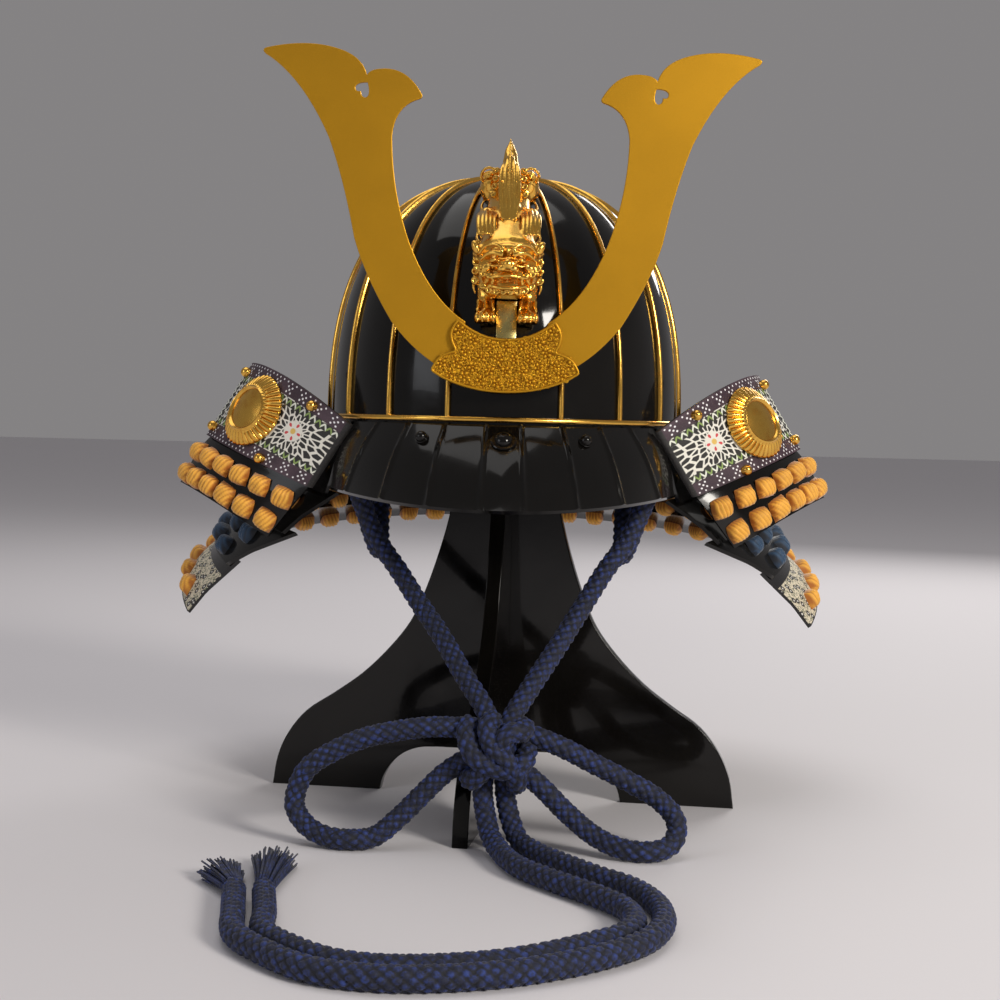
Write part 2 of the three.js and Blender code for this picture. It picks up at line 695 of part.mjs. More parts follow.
// From the knot up the cheek and beside the visor's end to its ring inside the bowl.
const strapEnd = [[94, -52, 222], [92, -46, 240], [90, -44, 253]];
const leftStrapRoute = [
  [-1, -156, 64], [-6, -150, 78], [-20, -131, 97], [-35, -110, 118], [-50, -91, 136], [-63, -76, 153],
  [-75, -66, 168], [-84, -61, 184], [-91, -58, 202], ...mirroredRoute(strapEnd),
];
const rightStrapRoute = [
  [3, -156, 66], [9, -148, 76], [20, -134, 92], [34, -115, 111], [50, -94, 134], [65, -77, 156],
  [79, -66, 174], [86, -61, 188], [92, -58, 204], ...strapEnd,
];
// From its ring down behind the strap, up again behind it, and half way round the back of the bowl.
const rearRoute = [
  [88, -30, 253], [90, -34, 236], [91, -40, 215], [88, -47, 194], [83, -50, 178], [79, -45, 167],
  [78, -34, 166], [79, -20, 176], [80, 0, 193], [80, 25, 213], [81, 48, 234], [80, 66, 250],
  [70, 84, 256], [45, 101, 257], [15, 110, 257],
];
const leftBowRoute = [
  [-16, -157, 70], [-36, -156, 70.5], [-56, -154, 67.5], [-77, -152, 62], [-92, -151, 55],
  [-107, -150, 45], [-113, -149, 35], [-116, -149, 23], [-110, -152, 12], [-97, -158, 6.3],
  [-83, -163, 6.3], [-68, -160, 8], [-55, -157, 18], [-42, -155, 31], [-29, -155, 44], [-16, -157, 53],
];
const rightBowRoute = [
  [17, -158, 68], [37, -157, 61], [57, -155, 51], [77, -153, 41], [93, -153, 32], [103, -156, 22],
  [104, -161, 14], [99, -168, 8], [88, -174, 6.3], [72, -171, 7], [57, -163, 12], [41, -159, 24],
  [26, -162, 39], [11, -162, 51],
];
const floorHeight = 6.3;
const innerTailRoute = [
  [-6, -155, 48], [-7, -155, 34], [-5, -156, 20], [-2, -161, 9],
  ...[[3, -180], [13, -213], [31, -241], [54, -271], [66, -293], [69, -317], [62, -338], [44, -356],
    [18, -377], [-9, -390], [-46, -396], [-70, -389], [-92, -368], [-106, -347], [-110, -314],
    [-116, -272]].map(([x, y]) => [x, y, floorHeight]),
];
const outerTailRoute = [
  [5, -153, 46], [6, -152, 32], [9, -155, 19], [14, -164, 9],
  ...[[23, -180], [37, -204], [56, -232], [71, -251], [81, -276], [84, -300], [82, -322], [73, -346],
    [53, -370], [25, -391], [-5, -405], [-46, -411], [-79, -401], [-103, -376], [-119, -351],
    [-125, -316], [-131, -272]].map(([x, y]) => [x, y, floorHeight]),
];
const tassels = [
  { name: "tassel_inner", root: [-116.2, -270.8], tip: [-119, -203] },
  { name: "tassel_outer", root: [-131.3, -270.8], tip: [-145, -230] },
];

function mirroredRoute(route) {
  return route.map(([x, y, z]) => [-x, y, z]);
}

// The knot: a full middle with two turns of the cord standing out of it.
function knotSolid() {
  const turn = (x, z, radius, tilt) => new THREE.TorusGeometry(radius, 6, 6, 9)
    .rotateX(Math.PI / 2 + radians(tilt))
    .translate(knotCentre[0] + x, knotCentre[1] - 2, knotCentre[2] + z);
  return join([egg(knotCentre, knotHalfSizes), turn(-5, -3, 9.5, 12), turn(6, 4, 9, -14)]);
}

// The frayed end of a tail: a flat brush that widens to its tip.
function tasselGeometry({ root, tip }) {
  const [from, to] = [vector([...root, 0]), vector([...tip, 0])];
  const side = to.clone().sub(from).cross(vector([0, 0, 1])).normalize();
  const stations = [
    { share: 0, halfWidth: 5.8, halfHeight: 5.8 },
    { share: 0.25, halfWidth: 7.4, halfHeight: 6.6 },
    { share: 0.6, halfWidth: 9.8, halfHeight: 7 },
    { share: 1, halfWidth: 11.2, halfHeight: 5 },
  ];
  return loft(stations.map(({ share, halfWidth, halfHeight }) => range(10, (index) => {
    const turn = (index / 10) * 2 * Math.PI;
    const ragged = share === 1 ? (index % 2 ? 3 : -3) : 0;
    const along = to.clone().sub(from).normalize().multiplyScalar(ragged);
    return from.clone().lerp(to, share).add(along).addScaledVector(side, halfWidth * Math.cos(turn))
      .add(vector([0, 0, halfHeight + 0.3 + halfHeight * Math.sin(turn)]));
  })));
}

function cordMeshes() {
  const trim = [toSolid(egg(knotCentre, knotHalfSizes.map((half) => half + 9), 0, 8, 6))];
  const rear = [...rearRoute, ...mirroredRoute(rearRoute).reverse()];
  return [
    mesh("strap_left", cordGeometry(leftStrapRoute, 7, trim), navyCord),
    mesh("strap_right", cordGeometry(rightStrapRoute, 7, trim), navyCord),
    mesh("rear_cord", cordGeometry(rear, 26), navyCord),
    mesh("bow_left", cordGeometry(leftBowRoute, 11, trim), navyCord),
    mesh("bow_right", cordGeometry(rightBowRoute, 10, trim), navyCord),
    mesh("tail_inner", cordGeometry(innerTailRoute, 17, trim), navyCord),
    mesh("tail_outer", cordGeometry(outerTailRoute, 17, trim), navyCord),
    mesh("knot", fromSolid(knotSolid()), navyCord),
    ...tassels.map((tassel) => mesh(tassel.name, tasselGeometry(tassel), navyCord)),
  ];
}

// ---- The whole ----

function helmetMeshes() {
  return [
    mesh("bowl", bowlGeometry(0, -dome.wall), lacquer),
    ...ribAngles.map((angle, index) =>
      mesh(`rib_${String(index + 1).padStart(2, "0")}`, ribGeometry(angle), gilt)),
    mesh("rim_bead", beadGeometry(), gilt),
    mesh("crown_fitting", crownGeometry(), gilt),
    mesh("visor", visorGeometry(), lacquer),
    ...visorRivets.map(visorRivetMesh),
    mesh("crest_prong", prongGeometry(), gilt),
    mesh("crest_holder", uprightPlate(holderShape(), crest.frontY, crest.holderThickness, 0.5), satinGold),
    mesh("lion", lionGeometry(), gilt),
    ...[1, 2, 3, 4].map((lame) => mesh(`lame_${lame}`, lameGeometry(lame), lacquer)),
  ];
}

function sideMeshes(side, name) {
  return [
    mesh(`horn_${name}`, hornGeometry(side), satinGold),
    mesh(`turnback_${name}`, upperTurnback(side), printedLeather),
    mesh(`turnback_lower_${name}`, lowerTurnback(side), lacquer),
    mesh(`boss_${name}`, bossGeometry(side), gilt),
    mesh(`lacing_${name}_upper`, turnbackRow(side, 1.32, 6), orangeSilk),
    mesh(`lacing_${name}_lower`, turnbackRow(side, 1.78, 6), orangeSilk),
  ];
}

function lacingMeshes() {
  return [
    mesh("lacing_lame_2_upper", lameRow(2, 0.42, 20), orangeSilk),
    mesh("lacing_lame_2_lower", lameRow(2, 0.82, 20), orangeSilk),
    mesh("lacing_lame_3_upper", lameRow(3, 0.42, 22), navySilk),
    mesh("lacing_lame_3_lower", lameRow(3, 0.82, 22), navySilk),
    mesh("lacing_lame_4", lameRow(4, 0.8, 25), orangeSilk),
  ];
}

function standMeshes() {
  return [
    boardMesh("stand_board_wide", true, standBoard.turn),
    boardMesh("stand_board_deep", false, standBoard.turn + 90),
  ];
}

// The origin is on the floor, under the middle of everything but the cord.
const group = new THREE.Group();
group.add(...standMeshes(), ...helmetMeshes(), ...sideMeshes(-1, "left"), ...sideMeshes(1, "right"),
  ...lacingMeshes());
const middle = new THREE.Box3().setFromObject(group, true).getCenter(vector([0, 0, 0]));
group.add(...cordMeshes());
group.position.set(-middle.x, -middle.y, 0);

export default group;
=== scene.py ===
"""A dressed kabuto: lacquered bowl with gilt ribs, laced neck guard, crest, lion, cord and stand.

Lengths inside the operators are millimetres from the helmet's own axis, +Z up and the front to -Y.
"""

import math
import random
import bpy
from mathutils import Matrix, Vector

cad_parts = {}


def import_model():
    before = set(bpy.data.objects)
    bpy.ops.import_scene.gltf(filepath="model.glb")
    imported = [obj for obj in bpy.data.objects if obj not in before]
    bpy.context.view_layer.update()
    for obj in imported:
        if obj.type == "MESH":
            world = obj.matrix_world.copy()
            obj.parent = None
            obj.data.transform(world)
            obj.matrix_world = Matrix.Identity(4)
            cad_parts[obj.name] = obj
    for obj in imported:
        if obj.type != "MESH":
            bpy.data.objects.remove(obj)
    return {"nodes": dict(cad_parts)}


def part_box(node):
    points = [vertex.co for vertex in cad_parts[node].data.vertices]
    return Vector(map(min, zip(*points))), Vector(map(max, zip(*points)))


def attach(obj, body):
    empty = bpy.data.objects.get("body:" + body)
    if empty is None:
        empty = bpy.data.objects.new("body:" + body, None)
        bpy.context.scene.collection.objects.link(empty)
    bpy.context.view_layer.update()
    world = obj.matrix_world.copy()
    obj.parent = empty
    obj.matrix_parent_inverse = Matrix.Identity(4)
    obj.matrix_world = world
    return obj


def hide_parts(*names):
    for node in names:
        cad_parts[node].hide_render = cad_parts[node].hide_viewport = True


bl_info = {
    "name": "Kabuto Helmet",
    "version": (1, 0, 0),
    "blender": (4, 5, 0),
    "location": "3D View > Sidebar > Kabuto",
    "description": "Builds a samurai helmet with its lacing, crest, cord and stand",
    "category": "Add Mesh",
}

import bmesh
import bpy
import numpy as np
from mathutils import Matrix, Vector

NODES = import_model()["nodes"]
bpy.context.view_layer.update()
BOWL_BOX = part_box("bowl")
AXIS = Vector(((BOWL_BOX[0].x + BOWL_BOX[1].x) / 2, (BOWL_BOX[0].y + BOWL_BOX[1].y) / 2, 0))
SIDES = (("left", -1), ("right", 1))


# ---- Sizes and colours that a user would change ----


class KabutoSizes(bpy.types.PropertyGroup):
    """Sizes of the fine work, in millimetres."""

    cord_diameter: bpy.props.FloatProperty(
        name="Cord", description="Diameter of the round cord", default=12.0, min=8, max=16)
    stitch: bpy.props.FloatProperty(
        name="Stitch", description="Length of one stitch of the cord", default=6.4, min=3, max=10)
    silk_width: bpy.props.FloatProperty(
        name="Silk knot", description="Width of one knot of the lacing", default=14.0, min=8, max=18)


class KabutoColours(bpy.types.PropertyGroup):
    """Base colours of the finishes."""

    lacquer: bpy.props.FloatVectorProperty(
        name="Lacquer", description="Black lacquer", subtype="COLOR", default=(0.0035, 0.003, 0.0025))
    gilt: bpy.props.FloatVectorProperty(
        name="Gilt", description="Polished gilt", subtype="COLOR", default=(0.86, 0.5, 0.095))
    satin: bpy.props.FloatVectorProperty(
        name="Satin gold", description="Gold of the horns", subtype="COLOR", default=(0.56, 0.285, 0.014))
    silk: bpy.props.FloatVectorProperty(
        name="Silk", description="Silk of the lacing", subtype="COLOR", default=(1.0, 0.49, 0.055))
    cord: bpy.props.FloatVectorProperty(
        name="Cord", description="Braided cord", subtype="COLOR", default=(0.007, 0.012, 0.05))


def sizes():
    return bpy.context.scene.kabuto_sizes


def colours():
    return bpy.context.scene.kabuto_colours


# ---- Finishes ----


class Value:
    """One socket of a material, for use in Python expressions."""

    def __init__(self, finish, socket):
        self.finish = finish
        self.socket = socket

    def math(self, operation, *others):
        return self.finish.math(operation, self, *others)

    def __add__(self, other):
        return self.math("ADD", other)

    def __sub__(self, other):
        return self.math("SUBTRACT", other)

    def __rsub__(self, other):
        return self.finish.math("SUBTRACT", other, self)

    def __mul__(self, other):
        return self.math("MULTIPLY", other)

    def __truediv__(self, other):
        return self.math("DIVIDE", other)

    def __rtruediv__(self, other):
        return self.finish.math("DIVIDE", other, self)

    def __mod__(self, other):
        return self.math("FLOORED_MODULO", other)

    def __pow__(self, other):
        return self.math("POWER", other)

    __radd__ = __add__
    __rmul__ = __mul__

    def size(self):
        return self.math("ABSOLUTE")

    def least(self, other):
        return self.math("MINIMUM", other)

    def most(self, other):
        return self.math("MAXIMUM", other)

    def ramp(self, low, high):
        """0 at low, 1 at high, smooth between; low may be the larger."""
        return self.finish.make(
            "ShaderNodeMapRange", {"interpolation_type": "SMOOTHSTEP"},
            {"Value": self, "From Min": low, "From Max": high})


class Finish:
    """One material, built node by node."""

    def __init__(self, name, colour, roughness, metallic=0.0, **sockets):
        self.material = bpy.data.materials.new(name)
        self.material.use_nodes = True
        self.tree = self.material.node_tree
        self.shader = self.tree.nodes["Principled BSDF"]
        self.put(Base_Color=colour, Roughness=roughness, Metallic=metallic, **sockets)

    def feed(self, socket, value):
        if isinstance(value, Value):
            self.tree.links.new(value.socket, socket)
        elif socket.type == "RGBA":
            socket.default_value = (*tuple(value)[:3], 1.0)
        else:
            socket.default_value = value

    def put(self, **sockets):
        for name, value in sockets.items():
            self.feed(self.shader.inputs[name.replace("_", " ")], value)

    def make(self, kind, settings=None, inputs=None, output=0):
        node = self.tree.nodes.new(kind)
        for name, value in (settings or {}).items():
            setattr(node, name, value)
        for name, value in (inputs or {}).items():
            self.feed(node.inputs[name], value)
        return Value(self, node.outputs[output])

    def math(self, operation, *values):
        return self.make("ShaderNodeMath", {"operation": operation}, dict(enumerate(values)))

    def mix(self, share, first, second):
        """The colour first, going over to second as share goes from 0 to 1."""
        return self.make(
            "ShaderNodeMix", {"data_type": "RGBA"}, {0: share, 6: first, 7: second}, 2)

    def place(self, scale=1000.0):
        """Object coordinates from the helmet's axis, in millimetres."""
        here = self.make("ShaderNodeTexCoord", output="Object")
        moved = self.make("ShaderNodeVectorMath", {"operation": "SUBTRACT"}, {0: here, 1: AXIS})
        return self.make(
            "ShaderNodeVectorMath", {"operation": "SCALE"}, {0: moved, "Scale": scale})

    def split(self, vector):
        node = self.tree.nodes.new("ShaderNodeSeparateXYZ")
        self.feed(node.inputs[0], vector)
        return [Value(self, output) for output in node.outputs]

    def vector(self, x, y, z=0.0):
        return self.make("ShaderNodeCombineXYZ", inputs={0: x, 1: y, 2: z})

    def noise(self, vector, scale, detail=2.0, roughness=0.5):
        return self.make("ShaderNodeTexNoise", inputs={
            "Vector": vector, "Scale": scale, "Detail": detail, "Roughness": roughness})

    def cells(self, feature, vector, scale, dimensions="3D", randomness=1.0):
        return self.make(
            "ShaderNodeTexVoronoi", {"feature": feature, "voronoi_dimensions": dimensions},
            {"Vector": vector, "Scale": scale, "Randomness": randomness})

    def attribute(self, name):
        return self.make("ShaderNodeAttribute", {"attribute_name": name}, output="Fac")

    def bump(self, height, distance, strength=1.0):
        """Feeds the surface normal with a height in millimetres."""
        self.put(Normal=self.make("ShaderNodeBump", inputs={
            "Strength": strength, "Distance": distance / 1000, "Height": height}, output="Normal"))


def tinted(colour, *factors):
    """The colour with its channels multiplied, all by one factor or each by its own."""
    return [part * factor for part, factor in zip(colour, factors * 3 if len(factors) == 1 else factors)]


def lacquer_finish(name, warmth=0.0):
    """Deep gloss lacquer with the faint unevenness of polish."""
    colour = tuple(colours().lacquer)
    made = Finish(name, colour, 0.1, Specular_IOR_Level=0.22, Coat_Weight=0.2, Coat_Roughness=0.03)
    place = made.place()
    haze = made.noise(place, 0.03, 3.0)
    made.put(Roughness=haze.ramp(0.35, 0.7) * 0.12 + 0.07)
    made.put(Base_Color=made.mix(
        made.noise(place, 0.012).ramp(0.4, 0.75), colour, [part * 1.7 + warmth for part in colour]))
    made.bump(made.noise(place, 0.05, 2.0), 0.25, 0.35)
    return made.material


def gilt_finish(name, colour, roughness=0.16, grain=0.5):
    """Gilt metal: warmer and duller where it is worn, with a fine uneven skin."""
    made = Finish(name, colour, roughness, 1.0)
    place = made.place()
    worn = made.noise(place, 0.16, 5.0, 0.65)
    made.put(Base_Color=made.mix(worn.ramp(0.42, 0.75) * 0.7, colour, tinted(colour, 0.62, 0.45, 0.35)))
    made.put(Roughness=worn.ramp(0.3, 0.8) * 0.16 + roughness)
    made.bump(made.noise(place, grain, 4.0, 0.7), 0.1, 0.5)
    return made.material


def satin_finish(name, colour):
    """Sprayed satin gold: a very fine grain and a soft sheen."""
    made = Finish(name, colour, 0.42, 0.85)
    place = made.place()
    speckle = made.noise(place, 2.4, 3.0, 0.7)
    cloud = made.noise(place, 0.02, 2.0)
    tone = made.mix(cloud.ramp(0.3, 0.7) * 0.5, colour, tinted(colour, 0.8))
    made.put(Base_Color=made.mix(speckle.ramp(0.45, 0.75) * 0.5, tone, tinted(colour, 1.3, 1.3, 1.4)))
    made.put(Roughness=speckle.ramp(0.3, 0.7) * 0.14 + 0.36)
    made.bump(speckle, 0.08, 0.5)
    return made.material


def painted_hollow_shade_gilt_finish(name, colour):
    """Gilt on carved work, with painted shade that makes its hollows dark and warm."""
    made = Finish(name, colour, 0.2, 1.0)
    place = made.place()
    hollow = made.attribute("hollow")
    worn = made.noise(place, 0.22, 4.0, 0.6)
    lit = made.mix(worn.ramp(0.4, 0.75) * 0.5, colour, tinted(colour, 1, 0.86, 0.6))
    # Painted shade: where the attribute hollow is high, in the carved hollows, the colour goes to a dark
    # warm brown.
    made.put(Base_Color=made.mix(hollow.ramp(0.05, 0.6), lit, (0.27, 0.1, 0.007)))
    made.put(Roughness=hollow.ramp(0.0, 0.8) * 0.3 + 0.17)
    made.bump(made.noise(place, 0.75, 4.0, 0.65), 0.22, 0.55)
    return made.material


def silk_finish(name, colour, dark):
    """Silk braid: bright along its threads, with painted shade that makes it dark between them."""
    made = Finish(name, colour, 0.6, Sheen_Weight=0.5, Sheen_Roughness=0.4)
    place = made.place()
    thread = made.attribute("hollow")
    fibre = made.noise(place, 1.6, 3.0, 0.7)
    tone = made.mix(made.noise(place, 0.09, 2.0).ramp(0.35, 0.7), colour, tinted(colour, 0.78))
    lit = made.mix(fibre.ramp(0.5, 0.8) * 0.5, tone, [min(1, part * 1.25 + 0.03) for part in colour])
    # Painted shade: where the attribute hollow is high, between the threads and at the rim of a knot, the
    # colour goes to dark.
    made.put(Base_Color=made.mix(thread.ramp(0.15, 0.95), lit, dark))
    made.put(Roughness=fibre.ramp(0.2, 0.8) * 0.2 + 0.5)
    made.bump(fibre, 0.3, 0.6)
    return made.material


def cord_finish(name, colour):
    """Braided cord: each stitch catches the light, and painted shade makes the gaps between them near
    black.
    """
    made = Finish(name, colour, 0.7, Sheen_Weight=0.12, Sheen_Roughness=0.4)
    place = made.place()
    gap = made.attribute("hollow")
    fibre = made.noise(place, 1.3, 4.0, 0.75)
    fleck = made.noise(place, 0.28, 3.0, 0.6)
    tone = made.mix(fleck.ramp(0.4, 0.72), tinted(colour, 0.55), (0.017, 0.04, 0.2))
    lit = made.mix(fibre.ramp(0.5, 0.8) * 0.45, tone, (0.06, 0.09, 0.2))
    # Painted shade: where the attribute hollow is high, in the gaps of the braid, the colour goes near
    # black.
    made.put(Base_Color=made.mix(gap.ramp(0.12, 0.8), lit, (0.0022, 0.003, 0.009)))
    made.put(Roughness=fibre.ramp(0.2, 0.8) * 0.2 + 0.6)
    made.bump(fibre, 0.35, 0.7)
    return made.material


# ---- Shape helpers ----


def from_solid(node):
    """The solid of a CAD node as a bmesh in millimetres from the axis, its corners merged."""
    bm = bmesh.new()
    bm.from_mesh(NODES[node].data)
    bmesh.ops.remove_doubles(bm, verts=bm.verts, dist=2e-6)
    bmesh.ops.transform(bm, matrix=Matrix.Scale(1000, 4) @ Matrix.Translation(-AXIS), verts=bm.verts)
    return bm


def millimetres(bm, name, finish, replaces=(), slot=None, smooth=None):
    """Ends a bmesh drawn in millimetres from the axis as a riding piece.

    smooth is the largest angle in degrees that is still shaded as one surface.
    """
    bmesh.ops.transform(bm, matrix=Matrix.Translation(AXIS) @ Matrix.Scale(0.001, 4), verts=bm.verts)
    mesh = bpy.data.meshes.new(name)
    bm.to_mesh(mesh)
    bm.free()
    mesh.materials.append(finish)
    mesh.polygons.foreach_set("use_smooth", [True] * len(mesh.polygons))
    if smooth:
        mesh.set_sharp_from_angle(angle=math.radians(smooth))
    piece = bpy.data.objects.new(name, mesh)
    bpy.context.scene.collection.objects.link(piece)
    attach(piece, "root")
    if replaces:
        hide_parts(*replaces)
    return piece


def sealed(bm):
    """Closes every open rim with one face and turns all faces outwards."""
    bmesh.ops.holes_fill(bm, edges=[edge for edge in bm.edges if edge.is_boundary], sides=0)
    bmesh.ops.recalc_face_normals(bm, faces=bm.faces)


def add_grid(bm, columns, rows, place, hollow=None, closed=False):
    """A grid of columns by rows faces, each corner moved to place(u, v), with its own UV map.

    hollow(u, v) fills the attribute of that name, from 0 on top to 1 in a groove. A closed grid is
    round in u.
    """
    uv_layer = bm.loops.layers.uv.get("UVMap") or bm.loops.layers.uv.new("UVMap")
    hollow_layer = bm.verts.layers.float.get("hollow") or bm.verts.layers.float.new("hollow")
    made = bmesh.ops.create_grid(bm, x_segments=columns, y_segments=rows, size=1.0)["verts"]
    spots = {vert: ((vert.co.x + 1) / 2, (vert.co.y + 1) / 2) for vert in made}
    for face in {face for vert in made for face in vert.link_faces}:
        for loop in face.loops:
            loop[uv_layer].uv = spots[loop.vert]
    for vert, (u, v) in spots.items():
        vert.co = place(u, v)
        vert[hollow_layer] = hollow(u, v) if hollow else 0.0
    if closed:
        seam = [vert for vert, (u, _) in spots.items() if u < 1e-4 or u > 1 - 1e-4]
        bmesh.ops.remove_doubles(bm, verts=seam, dist=1e-4)
    return [vert for vert in made if vert.is_valid]


def add_wall(bm, columns, rows, place, thickness):
    """A plate of even thickness over place(u, v, off); the attribute hollow is 1 on its back."""
    add_grid(bm, columns, rows, lambda u, v: place(u, v, 0.0))
    back = add_grid(bm, columns, rows, lambda u, v: place(u, v, -thickness), lambda u, v: 1.0)
    bmesh.ops.reverse_faces(bm, faces=list({face for vert in back for face in vert.link_faces}))
    bmesh.ops.bridge_loops(bm, edges=[edge for edge in bm.edges if edge.is_boundary])
    bmesh.ops.recalc_face_normals(bm, faces=bm.faces)


def add_turned(bm, sides, profile, place):
    """A closed form round an axis: place(turn, out, up) puts each corner of a profile of (out, up)."""
    rows = len(profile) - 1
    add_grid(bm, sides, rows, lambda u, v: place(u * math.tau, *profile[round(v * rows)]), closed=True)
    sealed(bm)


def add_egg(bm, centre, half_sizes, lean=0.0, around=12):
    """An egg shape from its centre and half sizes, leaning by an angle about Y."""
    place = Matrix.Translation(centre) @ Matrix.Rotation(lean, 4, "Y")
    bmesh.ops.create_uvsphere(
        bm, u_segments=around, v_segments=max(6, around // 2), radius=1.0,
        matrix=place @ Matrix.Diagonal((*half_sizes, 1)))


def curve_points(points, per_span=8, closed=False):
    """Points on a smooth centripetal curve through the given ones."""
    knots = [Vector(point) for point in points]
    if closed:
        knots = [knots[-1], *knots, knots[0], knots[1]]
    else:
        knots = [knots[0] * 2 - knots[1], *knots, knots[-1] * 2 - knots[-2]]
    made = []
    for before, start, end, after in zip(knots, knots[1:], knots[2:], knots[3:]):
        gaps = [
            max((b - a).length ** 0.5, 1e-4)
            for a, b in ((before, start), (start, end), (end, after))]
        first = (start - before) / gaps[0] - (end - before) / (gaps[0] + gaps[1]) + (end - start) / gaps[1]
        last = (end - start) / gaps[1] - (after - start) / (gaps[1] + gaps[2]) + (after - end) / gaps[2]
        first, last = first * gaps[1], last * gaps[1]
        for step in range(per_span):
            t = step / per_span
            made.append(
                start * (2 * t**3 - 3 * t**2 + 1) + end * (3 * t**2 - 2 * t**3)
                + first * (t**3 - 2 * t**2 + t) + last * (t**3 - t**2))
    return made if closed else [*made, knots[-2]]


def evenly(points, step):
    """The same line, with its points about step apart."""
    line = np.array([tuple(point) for point in points])
    along = np.concatenate([[0], np.cumsum(np.linalg.norm(np.diff(line, axis=0), axis=1))])
    stops = np.linspace(0, along[-1], max(2, round(along[-1] / step)) + 1)
    return [Vector(row) for row in np.stack([np.interp(stops, along, line[:, k]) for k in range(3)], 1)]


def line_length(points):
    return sum((b - a).length for a, b in zip(points, points[1:]))


def frames_along(line):
    """For each point of the line, two directions square to it that never twist."""
    heading = (line[1] - line[0]).normalized()
    side = heading.cross(Vector((0, 0, 1)))
    side = (side if side.length > 0.05 else heading.cross(Vector((0, 1, 0)))).normalized()
    made = []
    for index, point in enumerate(line):
        ahead = (line[min(index + 1, len(line) - 1)] - line[max(index - 1, 0)]).normalized()
        side = (side - ahead * side.dot(ahead)).normalized()
        made.append((point, side, ahead.cross(side)))
    return made


def add_tube(bm, line, radius, sides=8, hollow=None, relief=None):
    """A tube along a line, closed at its ends.

    radius may be a function of the share of its length. relief(along, turn) adds to it, and
    hollow(along, turn) fills the attribute, with along in millimetres and turn from 0 to 1.
    """
    spots = frames_along(line)
    total = line_length(line)
    rows = len(line) - 1

    def place(u, v):
        centre, side, up = spots[round(v * rows)]
        reach = radius(v) if callable(radius) else radius
        if relief:
            reach += relief(v * total, u)
        turn = u * math.tau
        return centre + side * (reach * math.cos(turn)) + up * (reach * math.sin(turn))

    made = add_grid(bm, sides, rows, place, hollow and (lambda u, v: hollow(v * total, u)), closed=True)
    rims = [edge for edge in {edge for vert in made for edge in vert.link_edges} if edge.is_boundary]
    bmesh.ops.holes_fill(bm, edges=rims, sides=0)


def flat_plate(
        outlines, thickness, bevel, front, name, finish, node, slot, turn=0.0, shift=0.0):
    """An upright plate from closed outlines in X and Z, its face at -Y, with rounded edges and holes."""
    curve = bpy.data.curves.new(name, "CURVE")
    curve.dimensions = "2D"
    curve.fill_mode = "BOTH"
    curve.extrude = thickness / 2 - bevel
    curve.bevel_depth = bevel
    curve.bevel_resolution = 3
    curve.offset = -bevel
    for outline in outlines:
        spline = curve.splines.new("POLY")
        spline.points.add(len(outline) - 1)
        for point, (x, z) in zip(spline.points, outline):
            point.co = (x, z, 0, 1)
        spline.use_cyclic_u = True
    drawn = bpy.data.objects.new(name, curve)
    bpy.context.scene.collection.objects.link(drawn)
    bpy.context.view_layer.update()
    mesh = bpy.data.meshes.new_from_object(drawn.evaluated_get(bpy.context.evaluated_depsgraph_get()))
    bpy.data.objects.remove(drawn)
    bpy.data.curves.remove(curve)
    bm = bmesh.new()
    bm.from_mesh(mesh)
    bpy.data.meshes.remove(mesh)
    bmesh.ops.remove_doubles(bm, verts=bm.verts, dist=1e-3)
    bmesh.ops.recalc_face_normals(bm, faces=bm.faces)
    for edge in bm.edges:
        flat = [abs(face.normal.z) > 0.999 for face in edge.link_faces]
        edge.smooth = len(flat) == 2 and flat[0] == flat[1] and edge.calc_face_angle(0) < math.radians(30)
    upright = Matrix.Translation((0, front + thickness / 2, 0)) @ Matrix.Rotation(math.pi / 2, 4, "X")
    standing = Matrix.Translation((shift, 0, 0)) @ Matrix.Rotation(math.radians(turn), 4, "Z")
    bmesh.ops.transform(bm, matrix=standing @ upright, verts=bm.verts)
    return millimetres(bm, name, finish, [node], slot)


def mirrored_outline(points):
    """A closed outline from its right half."""
    return [*points, *[(-x, z) for x, z in reversed(points) if x]]


def mirrored(side, points):
    """Points of the right side, turned over to the left where side is -1."""
    return [(side * x, y, z) for x, y, z in points]


def path_2d(start, steps, samples=10):
    """An outline: a step of one point is a straight edge, one of two points is a quadratic curve."""
    made = [Vector(start)]
    for step in steps:
        here = made[-1]
        if len(step) == 1:
            made.append(Vector(step[0]))
            continue
        control, end = Vector(step[0]), Vector(step[1])
        for index in range(1, samples + 1):
            t = index / samples
            made.append(here * (1 - t) ** 2 + control * (2 * t * (1 - t)) + end * t * t)
    return [tuple(point) for point in made]


# ---- Shared forms of the helmet ----

DOME = {"half_width": 113.5, "half_depth": 126.0, "height": 156.0, "rim": 247.0, "fullness": 2.5}
RIB_ANGLES = [17.1 + 20.3 * index for index in range(8)]
RIB_ANGLES += [360 - angle for angle in reversed(RIB_ANGLES)]
# The edges between the lames, from the top: angle, radius and height at the tip, radius and height
# at the back, and how far the edge swells out between them.
LAME_EDGES = (
    (53, 116, 244, 130, 243, 0), (61, 127, 198, 155, 222, 8), (69, 148, 173, 178, 203, 16),
    (83, 179, 150, 200, 188, 24), (90, 206, 116, 222, 175, 33))
LAME = {"tuck": 0.16, "step": 4.6, "wall": 2.4, "foot_gap": 2.8}
CHEEK = {
    "top": ((96, -83, 243), (166, -6, 280.5)), "middle": ((122, -68, 202), (195.5, -6, 232)),
    "bottom": ((147, -56, 170), (212.5, 0, 201)), "bulge": 10, "top_arch": 6, "lower_arch": 3,
    "wall": 2.4, "roll": 3.2, "roll_share": 0.045, "roll_turn": 75}
CHEEK_RIVETS = ((0.22, 0.1), (0.36, 0.93), (0.955, 0.14), (0.955, 0.86))


